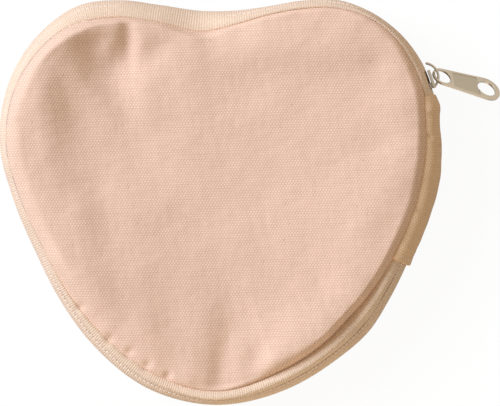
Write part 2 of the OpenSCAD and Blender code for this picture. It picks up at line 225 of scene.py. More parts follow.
@dataclass
class HeartEdge:
    """The outline of the purse at the zip, and the tape's section from there to each seam.

    The last two shares of each knot are the front seam's inset in the tape's width and the shoulder's rise. A row of
    rolls is a place in the photograph, how far in the front panel's roll reaches there, how softly it starts and the
    share of the shoulder's rise that it takes.
    """

    width: float = 159.5
    height: float = 146.0
    tape_w: float = 12.5
    back_rise: float = 1.5
    back_inset_share: float = 0.28
    shoulder_rise: float = 3.75
    lobe_share: Place = (0.2044, 0.1979)
    lobe_start_share: Place = (0.4863, 0.1872)
    lobe_first: float = -2.0
    lobe_step: float = 16.0
    lobe_shares: tuple[Place, ...] = (
        (0.37, 0.67), (0.34, 0.63), (0.31, 0.57), (0.22, 0.43), (0.2, 0.4), (0.27, 0.37))
    edge_shares: tuple[tuple[float, float, float, float], ...] = (
        (0.1771, 0.4973, 0.26, 0.33), (0.1030, 0.4835, 0.27, 0.33), (0.0320, 0.4735, 0.42, 0.33),
        (-0.0372, 0.4720, 0.62, 0.33), (-0.1388, 0.4870, 0.53, 0.33), (-0.2290, 0.4990, 0.53, 0.3),
        (-0.3194, 0.4870, 0.55, 0.3), (-0.4097, 0.4180, 0.54, 0.27), (-0.4729, 0.3144, 0.46, 0.23),
        (-0.4990, 0.2034, 0.40, 0.2), (-0.4990, 0.1295, 0.38, 0.2), (-0.4729, 0.0185, 0.38, 0.2),
        (-0.4164, -0.1295, 0.40, 0.2), (-0.3645, -0.2404, 0.45, 0.2), (-0.2900, -0.3514, 0.50, 0.23),
        (-0.1591, -0.4623, 0.48, 0.3), (-0.0147, -0.4990, 0.40, 0.43), (0.1433, -0.4623, 0.56, 0.67),
        (0.2584, -0.3884, 0.60, 0.9), (0.3352, -0.3144, 0.70, 1.0), (0.3780, -0.2404, 0.58, 1.0),
        (0.4435, -0.0875, 0.47, 0.87), (0.4729, -0.0062, 0.49, 0.8), (0.4886, 0.0925, 0.46, 0.73))
    rolls: tuple[tuple[Place, float, float, float], ...] = (
        ((443, 140), 2.8, 0.4, 1.0), ((420, 230), 2.6, 0.4, 0.8), ((385, 290), 1.9, 0.1, 0.5),
        ((330, 345), 2.8, 0.0, 0.6), ((280, 380), 5.0, 0.0, 1.4), ((245, 392), 3.6, 0.0, 1.1),
        ((234, 397), 2.8, 0.0, 0.95), ((206, 397), 5.0, 0.0, 1.2), ((180, 387), 2.6, 0.1, 1.0),
        ((140, 365), 2.2, 0.2, 1.0), ((70, 300), 3.2, 0.6, 1.2), ((12, 180), 4.2, 1.0, 1.5),
        ((8, 90), 4.2, 1.0, 2.2), ((50, 25), 3.2, 0.7, 1.8), ((90, 12), 2.2, 0.1, 1.2),
        ((130, 8), 2.0, 0.0, 1.0), ((215, 18), 1.6, 0.0, 1.0), ((320, 3), 1.6, 0.0, 1.0),
        ((400, 20), 2.2, 0.2, 1.0), ((432, 60), 2.6, 0.35, 1.0))
    strip_angle: float = 12.8
    strip_l: float = 63.5
    strip_lap: float = 8.0
    slider_angle: float = 19.9
    soft_lap: float = 0.33
    probe_share: float = 0.125
    per_span: int = 48
    halvings: int = 24

    def __post_init__(self) -> None:
        """Works out the curve through the knots and its tables by length."""
        size = np.array([self.width, self.height, self.tape_w, self.shoulder_rise])
        self.lobe_centre = self.lobe_share * size[:2]
        self.lobe_radius = float(np.linalg.norm(self.lobe_start_share * size[:2] - self.lobe_centre))
        a = np.radians(self.lobe_first + self.lobe_step * np.arange(len(self.lobe_shares)))
        lobe = self.lobe_centre + self.lobe_radius * np.stack([np.cos(a), np.sin(a)], 1)
        k = np.vstack([np.hstack([lobe, self.lobe_shares * size[2:]]), self.edge_shares * size])
        nxt, prv = np.roll(k, -1, 0), np.roll(k, 1, 0)
        chord = np.linalg.norm((nxt - k)[:, :2], axis=1)[:, None]
        back = np.roll(chord, 1, 0)
        slope = (k - prv) / back - (nxt - prv) / (back + chord) + (nxt - k) / chord
        t = (np.arange(self.per_span) / self.per_span)[None, :, None]
        k0, k1, c = k[:, None], nxt[:, None], chord[:, None]
        m0, m1 = c * slope[:, None], c * np.roll(slope, -1, 0)[:, None]
        curve = ((2 * t**3 - 3 * t**2 + 1) * k0 + (t**3 - 2 * t**2 + t) * m0
                 + (3 * t**2 - 2 * t**3) * k1 + (t**3 - t**2) * m1).reshape(-1, 4)
        self._curve = np.vstack([curve, curve[:1]])
        self._run = run_along(self._curve[:, :2])
        self.length = float(self._run[-1])
        self.back_inset = self.back_inset_share * self.tape_w
        self.back_drop = float(self._rise(np.array([self.back_inset]))[0])
        self.zip_z = self.back_drop + self.back_rise
        self.strip_top = self.lobe_radius * math.radians(self.strip_angle - self.lobe_first)
        self.strip_low = self.strip_top - self.strip_l
        self.zip_start = self.strip_top - self.strip_lap
        self.zip_end = self.strip_low + self.length + self.strip_lap
        self.slider_at = self.lobe_radius * math.radians(self.slider_angle - self.lobe_first)

    def _rise(self, inset: Array) -> Array:
        """Halves its way to the height of a tape whose section is a quarter ellipse of constant length.

        Args:
            inset: how far the seam lies inside the outline.

        Returns:
            The seam's height over the zip.
        """
        low, high = np.zeros_like(inset), np.full_like(inset, self.tape_w)
        for _ in range(self.halvings):
            b = (low + high) / 2
            long = math.pi / 4 * (3 * (inset + b) - np.sqrt((3 * inset + b) * (inset + 3 * b))) > self.tape_w
            high, low = np.where(long, b, high), np.where(long, low, b)
        return (low + high) / 2

    def _table(self, s: Array, column: int) -> Array:
        """One column of the curve's table at distances s along it."""
        return np.interp(np.mod(s, self.length), self._run, self._curve[:, column])

    def at(self, s: Array) -> Array:
        """The outline's points at distances s along it."""
        return np.stack([self._table(s, 0), self._table(s, 1)], -1)

    def along(self, s: Array) -> Array:
        """The direction of the outline at distances s."""
        probe = self.probe_share * self.tape_w
        return unit(self.at(s + probe) - self.at(s - probe))

    def level(self, s: Array) -> Array:
        """The same direction with a height of 0."""
        return np.concatenate([self.along(s), np.zeros((len(s), 1))], 1)

    def outward(self, s: Array) -> Array:
        """The outward direction at distances s."""
        t = self.along(s)
        return np.stack([t[..., 1], -t[..., 0]], -1)

    def point(self, s: Array, inset: Array | float, z: Array) -> Array:
        """Points at distances s along the outline, this far inside it and at these heights."""
        p = self.at(s) - np.asarray(inset)[..., None] * self.outward(s)
        return np.concatenate([p, z[..., None]], -1)

    def nearest(self, place: Place) -> float:
        """The distance along the edge nearest to a place in the photograph."""
        gap = np.linalg.norm(self._curve[:-1, :2] - placed([place])[0], axis=1)
        return float(self._run[int(gap.argmin())])

    def inset(self, s: Array, half: Half) -> Array:
        """How far the seam lies inside the outline."""
        return np.full_like(s, self.back_inset) if half is Half.BACK else self._table(s, 2)

    def seam_rise(self, s: Array, half: Half) -> Array:
        """How far the seam lies above or below the zip."""
        return np.full_like(s, self.back_drop) if half is Half.BACK else self._rise(self.inset(s, half))

    def shoulder(self, s: Array) -> Array:
        """How far the front panel rises over its seam."""
        return self._table(s, 3) * self.roll(s, 2)

    def roll(self, s: Array, which: int) -> Array:
        """The front panel's roll at distances s: its reach for 0, its softness for 1, its share of the rise for 2."""
        rows = sorted((self.nearest(row[0]), row[1 + which]) for row in self.rolls)
        return np.interp(s, *zip(*rows), period=self.length)

    def lap(self, soft: Array) -> Array:
        """The share of the tape's section where the front panel starts, by how softly it starts."""
        return 1 - self.soft_lap * soft

    def share_at(self, s: Array, up: Array, half: Half) -> Array:
        """The share of the tape's section, as wall takes it, at a height over the zip."""
        return np.arcsin(np.clip(up / self.seam_rise(s, half), 0, 1)) / (math.pi / 2)

    def wall(self, s: Array, t: Array, half: Half, depth: Array | float = 0.0) -> Array:
        """Points on the tape's outer face.

        Args:
            s: distances along the edge.
            t: 0 at the zip and 1 at the seam; past 1 the face runs on under the panel.
            half: the half of the purse.
            depth: distance from the face into the purse.

        Returns:
            Points in millimetres.
        """
        a, b = self.inset(s, half), self.seam_rise(s, half)
        over = np.maximum(t - 1, 0) * self.tape_w
        turn = np.minimum(t, 1) * math.pi / 2
        m = np.hypot(b * np.cos(turn), a * np.sin(turn))
        inset = a * (1 - np.cos(turn)) + depth * b * np.cos(turn) / m + over
        up = b * np.sin(turn) - depth * a * np.sin(turn) / m
        return self.point(s, inset, self.zip_z + half.value * up)


def added(name: str, data: bpy.types.ID) -> bpy.types.Object:
    """Puts data into the scene as an object.

    Args:
        name: the object's name.
        data: the mesh, curve, camera or light that it shows.

    Returns:
        The object.
    """
    obj = bpy.data.objects.new(name, data)
    bpy.context.scene.collection.objects.link(obj)
    return obj


def mesh_object(name: str, points: Array, faces: Sequence[Sequence[int]],
                cloth: Array | None = None) -> bpy.types.Object:
    """Makes a smooth shaded mesh object.

    Args:
        name: the piece's name.
        points: points in millimetres.
        faces: lists of point numbers.
        cloth: the weave's coordinates in millimetres, one row for each point.

    Returns:
        The object, linked to the scene.
    """
    mesh = bpy.data.meshes.new(name)
    mesh.from_pydata((points * MM).tolist(), [], faces)
    mesh.validate()
    mesh.shade_smooth()
    if cloth is not None:
        layer = mesh.attributes.new("cloth", "FLOAT_VECTOR", "POINT")
        flat = np.hstack([cloth, np.zeros((len(cloth), 1))]).astype(np.float32)
        layer.data.foreach_set("vector", flat.ravel() * MM)
    return added(name, mesh)


def band(name: str, rings: Array, cloth: Array, closed: bool = False, flip: bool = False) -> bpy.types.Object:
    """Makes a closed skin over rings of points.

    Args:
        name: the piece's name.
        rings: points by ring and place round the ring.
        cloth: the weave's coordinates of each.
        closed: whether the last ring joins the first.
        flip: whether the faces turn the other way.

    Returns:
        The object.
    """
    n, k = rings.shape[:2]
    i = np.arange(n if closed else n - 1)[:, None]
    j = np.arange(k)[None]
    a, b, j1 = i * k, (i + 1) % n * k, (j + 1) % k
    faces = np.stack([a + j, b + j, b + j1, a + j1], -1).reshape(-1, 4).tolist()
    if not closed:
        faces += [list(range(k)), list(range(n * k - 1, (n - 1) * k - 1, -1))]
    if flip:
        faces = [f[::-1] for f in faces]
    return mesh_object(name, rings.reshape(-1, 3), faces, cloth.reshape(-1, 2))


def two_faced(name: str, outer: Array, inner: Array, cloth: Sequence[Array], flip: bool) -> bpy.types.Object:
    """Makes a closed band of an outer and an inner face, with the same weave on both.

    Args:
        name: the piece's name.
        outer: points by ring and place across the face.
        inner: the other face's points.
        cloth: the weave's two coordinates of each.
        flip: whether the faces turn the other way.

    Returns:
        The object.
    """
    weave = np.stack(np.broadcast_arrays(*cloth), -1)
    return band(name, *(np.concatenate([one, two[:, ::-1]], 1) for one, two in ((outer, inner), (weave, weave))),
                flip=flip)


def tube(name: str, path: Array, radius: float, sides: int, strands: int = 0, turn: float = 1.0,
         groove: float = 0.0) -> bpy.types.Object:
    """Makes a round tube along a path, twisted like a cord if it has strands.

    Args:
        name: the piece's name.
        path: points in millimetres.
        radius: the tube's radius.
        sides: points round the tube.
        strands: strands of a twisted cord, or 0 for a plain tube.
        turn: length of one turn of the twist.
        groove: depth of the grooves between strands.

    Returns:
        The tube.
    """
    fwd = unit(np.gradient(path, axis=0))
    side = np.empty_like(fwd)
    side[0] = unit(np.cross(fwd[0], [0.1, 0.2, 1.0]))
    for i in range(1, len(side)):
        side[i] = unit(side[i - 1] - fwd[i] * (side[i - 1] @ fwd[i]))
    up = np.cross(side, fwd)
    run = run_along(path)[:, None]
    a = np.arange(sides)[None] / sides * TURN
    r = np.full((len(path), sides), radius)
    if strands:
        r -= groove * (0.5 - 0.5 * np.cos(strands * (a + TURN * run / (strands * turn))))
    way = np.cos(a)[..., None] * side[:, None] + np.sin(a)[..., None] * up[:, None]
    cloth = np.stack(np.broadcast_arrays(run, a * radius), -1)
    return band(name, path[:, None] + r[..., None] * way, cloth)


def beads(name: str, centres: Array, fwd: Array, up: Array, size: Triple, taper: float = 0.0) -> bpy.types.Object:
    """Makes a row of small oval stitches as one piece.

    Args:
        name: the piece's name.
        centres: the middle of each stitch.
        fwd: the direction each runs in.
        up: the direction it stands out in.
        size: half its length, half its width and half its height.
        taper: how much narrower one end is than the middle.

    Returns:
        The row.
    """
    rings, sides = 5, 8
    v = np.linspace(0, math.pi, rings + 2)[1:-1]
    a = np.arange(sides) / sides * TURN
    x = -np.cos(v)[:, None] * np.ones(sides)
    r = np.sin(v)[:, None] * (1 - taper * x)
    oval = np.stack([x, r * np.cos(a), r * np.sin(a)], -1).reshape(-1, 3)
    oval = np.vstack([[-1, 0, 0], oval, [1, 0, 0]])
    j = np.arange(sides)
    j1, last = (j + 1) % sides, 1 + (rings - 1) * sides
    faces = np.stack([0 * j, 1 + j1, 1 + j], -1).tolist()
    for p in range(1, last, sides):
        faces += np.stack([p + j, p + j1, p + sides + j1, p + sides + j], -1).tolist()
    faces += np.stack([last + j, last + j1, last + sides + 0 * j], -1).tolist()
    basis = np.stack([fwd * size[0], np.cross(up, fwd) * size[1], up * size[2]], 1)
    points = (centres[:, None] + oval[None] @ basis).reshape(-1, 3)
    every = [[i * len(oval) + q for q in f] for i in range(len(centres)) for f in faces]
    cloth = np.tile(oval[:, :2] * size[0], (len(centres), 1)) + np.repeat(centres[:, :2], len(oval), 0)
    return mesh_object(name, points, every, cloth)


class Tree:
    """Builds the nodes of a material or of the world."""

    def __init__(self, owner: bpy.types.Material | bpy.types.World) -> None:
        """Starts from the nodes that Blender gives the owner.

        Args:
            owner: the material or the world.
        """
        owner.use_nodes = True
        self.owner = owner
        self.nodes, self.links = owner.node_tree.nodes, owner.node_tree.links

    def put(self, target: Socket, value: object) -> None:
        """Links a socket, or sets a plain value.

        Args:
            target: the input.
            value: another node's output, or a number or colour.
        """
        if isinstance(value, Socket):
            self.links.new(value, target)
        else:
            target.default_value = value

    def node(self, kind: str, inputs: dict[int | str, object], out: int | str = 0, **settings: object) -> Socket:
        """Adds a node.

        Args:
            kind: its type.
            inputs: values or other nodes' outputs by the name or number of the input.
            out: the output that is wanted.
            settings: its properties.

        Returns:
            That output.
        """
        made = self.nodes.new("ShaderNode" + kind)
        for key, value in settings.items():
            setattr(made, key, value)
        for key, value in inputs.items():
            self.put(made.inputs[key], value)
        return made.outputs[out]

    def finish(self, last: str, inputs: dict[str, object]) -> bpy.types.ID:
        """Sets the inputs of the node that the tree ends in.

        Args:
            last: its name.
            inputs: values or other nodes' outputs by the input's name.

        Returns:
            The tree's owner.
        """
        for key, value in inputs.items():
            self.put(self.nodes[last].inputs[key], value)
        return self.owner

    def calc(self, how: str, *values: object) -> Socket:
        """One step of arithmetic."""
        return self.node("Math", dict(enumerate(values)), operation=how)

    def tally(self, start: Socket | float, *terms: tuple[Socket, float]) -> Socket:
        """Adds values, each times its share, to a start.

        Args:
            start: what they are added to.
            terms: each value and its share.

        Returns:
            The sum.
        """
        for value, share in terms:
            start = self.calc("MULTIPLY_ADD", value, share, start)
        return start

    def cloth(self) -> tuple[Socket, Socket, Socket]:
        """Reads the weave's coordinates.

        Returns:
            Both together, then each alone.
        """
        both = self.node("Attribute", {}, "Vector", attribute_name="cloth")
        u = self.node("SeparateXYZ", {0: both})
        return both, u, u.node.outputs[1]

    def stretched(self, vector: Socket, across: float, down: float) -> Socket:
        """Coordinates scaled each way."""
        return self.node("Mapping", {"Vector": vector, "Scale": (across, down, 1.0)})

    def noise(self, vector: Socket, scale: float, detail: float = 2.0) -> Socket:
        """Random cloudy values from 0 to 1."""
        return self.node("TexNoise", {"Vector": vector, "Scale": scale, "Detail": detail})

    def cloud(self, vector: Socket, scale: float, detail: float = 2.0) -> Socket:
        """Random cloudy values round 0."""
        return self.calc("SUBTRACT", self.noise(vector, scale, detail), 0.5)

    def wave(self, along: Socket, pitch: float, shift: Socket | float = 0.0) -> Socket:
        """A cosine of the given pitch in metres, plus a shift in radians."""
        return self.calc("COSINE", self.calc("MULTIPLY_ADD", along, TURN / pitch, shift))

    def shaded(self, colour: Triple, factor: Socket) -> Socket:
        """A colour times a factor that varies over the surface."""
        return self.node("VectorMath", {0: colour, "Scale": factor}, operation="SCALE")

    def blend(self, one: object, two: object, factor: Socket) -> Socket:
        """Mixes two colours."""
        return self.node("Mix", {"Factor": factor, 6: one, 7: two}, 2, data_type="RGBA")

    def between(self, value: Socket, low: float, high: float) -> Socket:
        """0 below low, 1 above high and smooth between."""
        limits = {"Value": value, "From Min": low, "From Max": high}
        return self.node("MapRange", limits, interpolation_type="SMOOTHSTEP")

    def raised(self, height: Socket, depth: float) -> Socket:
        """The shader's normal for a height, with a depth in metres."""
        return self.node("Bump", {"Strength": 1.0, "Distance": depth, "Height": height})

    def seen(self) -> Socket:
        """Tells the rays apart.

        Returns:
            1 for camera, glossy and transmission rays, and 0 for all others.
        """
        rays = self.node("LightPath", {}).node.outputs
        first = self.calc("MAXIMUM", rays["Is Camera Ray"], rays["Is Glossy Ray"])
        return self.calc("MAXIMUM", first, rays["Is Transmission Ray"])


@dataclass(frozen=True)
class CanvasFinish:
    """Plain weave canvas: warp threads side by side, thicker weft threads, small slubs and husk flecks."""

    name: str = "natural_canvas"
    colour: Triple = (0.763, 0.527, 0.407)
    fleck: Triple = (0.42, 0.26, 0.17)
    fleck_tone: float = 0.3
    fleck_from: float = 0.77
    fleck_to: float = 0.84
    fleck_scale: float = 900.0
    fleck_squash: float = 0.6
    warp_pitch: float = 0.000526
    weft_pitch: float = 0.000893
    drift: float = 1.1
    drift_scale: float = 260.0
    weft_drift: float = 0.6
    # painted shade in the gaps between threads and painted light on their crossings, as a share of the colour
    weave_shade_tone: float = 0.078
    thread_tone: float = 0.14
    thread_run: float = 90.0
    cloud_tone: float = 0.07
    cloud_scale: float = 45.0
    cloud_detail: float = 3.0
    thread_relief: float = 1.2
    weave_depth: float = 0.000012
    roughness: float = 0.88
    sheen: float = 0.12
    specular: float = 0.25

    def material(self) -> bpy.types.Material:
        """Builds the material.

        Returns:
            The material.
        """
        tree = Tree(bpy.data.materials.new(self.name))
        both, u, v = tree.cloth()
        drift = tree.calc("MULTIPLY_ADD", tree.noise(both, self.drift_scale), 2 * self.drift, -self.drift)
        warp = tree.wave(u, 2 * self.warp_pitch, drift)
        weft = tree.wave(v, 2 * self.weft_pitch, tree.calc("MULTIPLY", drift, self.weft_drift))
        rows = tree.calc("MULTIPLY_ADD", tree.calc("MULTIPLY", weft, weft), 2.0, -1.0)
        weave = tree.calc("MULTIPLY_ADD", tree.calc("MULTIPLY", warp, weft), 2.0, rows)
        warps = tree.noise(tree.stretched(both, 1 / self.warp_pitch, self.thread_run), 1.0, 1.0)
        wefts = tree.noise(tree.stretched(both, self.thread_run, 1 / self.weft_pitch), 1.0, 1.0)
        threads = tree.calc("SUBTRACT", tree.calc("ADD", warps, wefts), 1.0)
        # the weave's painted shade and light, thread slubs and random clouds
        tone = tree.tally(1.0, (weave, self.weave_shade_tone), (threads, self.thread_tone),
                          (tree.cloud(both, self.cloud_scale, self.cloud_detail), self.cloud_tone))
        specks = tree.noise(tree.stretched(both, 1.0, self.fleck_squash), self.fleck_scale, 0.0)
        specks = tree.calc("MULTIPLY", tree.between(specks, self.fleck_from, self.fleck_to), self.fleck_tone)
        return tree.finish("Principled BSDF", {
            "Base Color": tree.blend(tree.shaded(self.colour, tone), (*self.fleck, 1.0), specks),
            "Normal": tree.raised(tree.tally(weave, (threads, self.thread_relief)), self.weave_depth),
            "Roughness": self.roughness, "Sheen Weight": self.sheen, "Specular IOR Level": self.specular})


@dataclass(frozen=True)
class TapeFinish:
    """Woven zip tape: fine ribs across it, smooth and a little brighter than the canvas."""

    name: str = "zip_tape"
    colour: Triple = (0.83, 0.62, 0.47)
    rib_pitch: float = 0.000865
    rib_tone: float = 0.07
    fine_pitch: float = 0.0005
    fine_tone: float = 0.05
    fine_shift: float = 0.8
    cloud_tone: float = 0.12
    cloud_scale: float = 120.0
    cloud_detail: float = 3.0
    grain_tone: float = 0.3
    grain_scale: Place = (900.0, 1400.0)
    grain_relief: float = 2.0
    depth: float = 0.00004
    roughness: float = 0.78
    sheen: float = 0.1
    specular: float = 0.3

    def material(self) -> bpy.types.Material:
        """Builds the material.

        Returns:
            The material.
        """
        tree = Tree(bpy.data.materials.new(self.name))
        both, u, v = tree.cloth()
        rib = tree.wave(u, self.rib_pitch)
        fine = tree.wave(v, self.fine_pitch, tree.calc("MULTIPLY", rib, self.fine_shift))
        grain = tree.cloud(tree.stretched(both, *self.grain_scale), 1.0, 1.0)
        tone = tree.tally(1.0, (rib, self.rib_tone), (fine, self.fine_tone),
                          (tree.cloud(both, self.cloud_scale, self.cloud_detail), self.cloud_tone),
                          (grain, self.grain_tone))
        height = tree.tally(tree.calc("ADD", rib, fine), (grain, self.grain_relief))
        return tree.finish("Principled BSDF", {
            "Base Color": tree.shaded(self.colour, tone), "Normal": tree.raised(height, self.depth),
            "Roughness": self.roughness, "Sheen Weight": self.sheen, "Specular IOR Level": self.specular})


@dataclass(frozen=True)
class ThreadFinish:
    """Sewing thread or nylon: fine twisted lines along it."""

    name: str = "sewing_thread"
    colour: Triple = (0.88, 0.70, 0.58)
    line_pitch: float = 0.0004
    tone: float = 0.08
    depth: float = 0.00002
    roughness: float = 0.55
    clear: float = 0.0
    clear_reach: Triple = (0.001, 0.0007, 0.0005)
    cloud_tone: float = 0.15
    cloud_scale: float = 300.0

    def material(self) -> bpy.types.Material:
        """Builds the material.

        Returns:
            The material.
        """
        tree = Tree(bpy.data.materials.new(self.name))
        both, u, v = tree.cloth()
        lines = tree.wave(tree.calc("ADD", u, v), self.line_pitch)
        tone = tree.tally(1.0, (lines, self.tone), (tree.cloud(both, self.cloud_scale), self.cloud_tone))
        return tree.finish("Principled BSDF", {
            "Base Color": tree.shaded(self.colour, tone), "Normal": tree.raised(lines, self.depth),
            "Roughness": self.roughness, "Subsurface Weight": self.clear,
            "Subsurface Radius": self.clear_reach, "Subsurface Scale": 1.0})


@dataclass(frozen=True)
class MetalFinish:
    """Plated zinc casting: a soft sheen with fine tumbling marks, duller where worn, painted shade where sunk."""

    name: str = "plated_metal"
    colour: Triple = (0.475, 0.40, 0.305)
    dull: Triple = (0.39, 0.33, 0.245)
    # painted shade: the colour of the sunk panel, darker than the plain metal
    sunk: Triple = (0.385, 0.325, 0.235)
    wear: float = 0.35
    wear_scale: float = 420.0
    wear_detail: float = 3.0
    wear_from: float = 0.3
    wear_to: float = 0.8
    roughness: float = 0.24
    marks: float = 0.25
    marks_scale: float = 2500.0
    marks_detail: float = 4.0
    depth: float = 0.00001

    def material(self) -> bpy.types.Material:
        """Builds the material.

        Returns:
            The material.
        """
        tree = Tree(bpy.data.materials.new(self.name))
        where = tree.node("TexCoord", {}, "Object")
        marks = tree.noise(where, self.marks_scale, self.marks_detail)
        worn = tree.between(tree.noise(where, self.wear_scale, self.wear_detail), self.wear_from, self.wear_to)
        plain = tree.blend((*self.colour, 1.0), (*self.dull, 1.0), tree.calc("MULTIPLY", worn, self.wear))
        # painted shade: points of the sunk layer take the darker sunk colour
        low = tree.node("Attribute", {}, "Fac", attribute_name="sunk")
        return tree.finish("Principled BSDF", {
            "Base Color": tree.blend(plain, (*self.sunk, 1.0), low), "Normal": tree.raised(marks, self.depth),
            "Roughness": tree.tally(self.roughness, (marks, self.marks)), "Metallic": 1.0})


class Looks:
    """The purse's materials."""

    def __init__(self) -> None:
        """Builds each material once."""
        self.canvas = CanvasFinish().material()
        # a browner copy of the same canvas: painted warm shade for the strip, which faces away from the key light
        self.strip_canvas = CanvasFinish("strip_canvas", (0.79, 0.545, 0.36)).material()
        self.tape = TapeFinish().material()
        self.thread = ThreadFinish().material()
        self.nylon = ThreadFinish("coil_nylon", (0.84, 0.68, 0.55), line_pitch=0.0009, tone=0.03, depth=0.00001,
                                  roughness=0.32, clear=0.15).material()
        self.cord = ThreadFinish("cotton_cord", (0.82, 0.66, 0.53), line_pitch=0.0006, tone=0.1, depth=0.00003,
                                 roughness=0.85).material()
        self.metal = MetalFinish().material()


def dressed(piece: bpy.types.Object, finish: bpy.types.Material, slot: str, *nodes: str) -> bpy.types.Object:
    """Gives a piece its finish and hides the solids that it stands for.

    Args:
        piece: the piece.
        finish: its material.
        slot: not used.
        nodes: the solids that it stands for.

    Returns:
        The piece.
    """
    piece.data.materials.clear()
    piece.data.materials.append(finish)
    if nodes:
        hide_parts(*nodes)
    LOG.info("%s: %d points", piece.name, len(piece.data.vertices))
    return piece


@dataclass
class Cover:
    """What both canvas panels share: rings of points from the seam to the middle, on two faces."""

    edge: HeartEdge
    half: Half = Half.FRONT
    count: int = 480
    cloth_t: float = 0.9
    middle: Place = (-1.595, 7.3)
    lean: Place = (3.4, 1.4)

    def stations(self) -> Array:
        """Distances along the edge."""
        return np.arange(self.count) * self.edge.length / self.count

    def spoke(self, start: Array) -> tuple[Array, Array]:
        """The way from each start to the middle, and its length."""
        way = np.array(self.middle) - start
        return way, np.linalg.norm(way, axis=1)

    def closed(self, outer: Array, inner: Array) -> bpy.types.Object:
        """Makes one closed piece of the panel's two faces.

        Args:
            outer: the outer face's rings, from the seam in.
            inner: the inner face's rings.

        Returns:
            The piece.
        """
        m, n = outer.shape[:2]
        top = np.array([*self.middle, outer[-1, :, 2].mean()])
        ends = [top, top - [0, 0, self.half.value * self.cloth_t]]
        points = np.vstack([outer.reshape(-1, 3), inner.reshape(-1, 3), *ends])
        a, j = np.arange(m - 1)[:, None] * n, np.arange(n)
        j1, full, last = (j + 1) % n, m * n, (m - 1) * n
        sheet = np.stack([a + j, a + j1, a + n + j1, a + n + j], -1).reshape(-1, 4)
        rim = np.stack([j, j + full, j1 + full, j1], -1)
        crown = np.stack([last + j, last + j1, np.full(n, 2 * full)], -1)
        floor = np.stack([full + last + j1, full + last + j, np.full(n, 2 * full + 1)], -1)
        faces = np.vstack([sheet, sheet[:, ::-1] + full, rim]).tolist() + crown.tolist() + floor.tolist()
        if self.half is Half.BACK:
            faces = [f[::-1] for f in faces]
        p, q = np.radians(self.lean)
        cloth = points[:, :2] @ np.array([[math.cos(p), -math.sin(q)], [math.sin(p), math.cos(q)]])
        return mesh_object(f"{self.half.word}_cover", points, faces, cloth)

    def dress(self, looks: Looks) -> None:
        """Makes the panel and dresses it."""
        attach(dressed(self.build(), looks.canvas, "canvas", f"{self.half.word}_panel"), self.half.body)


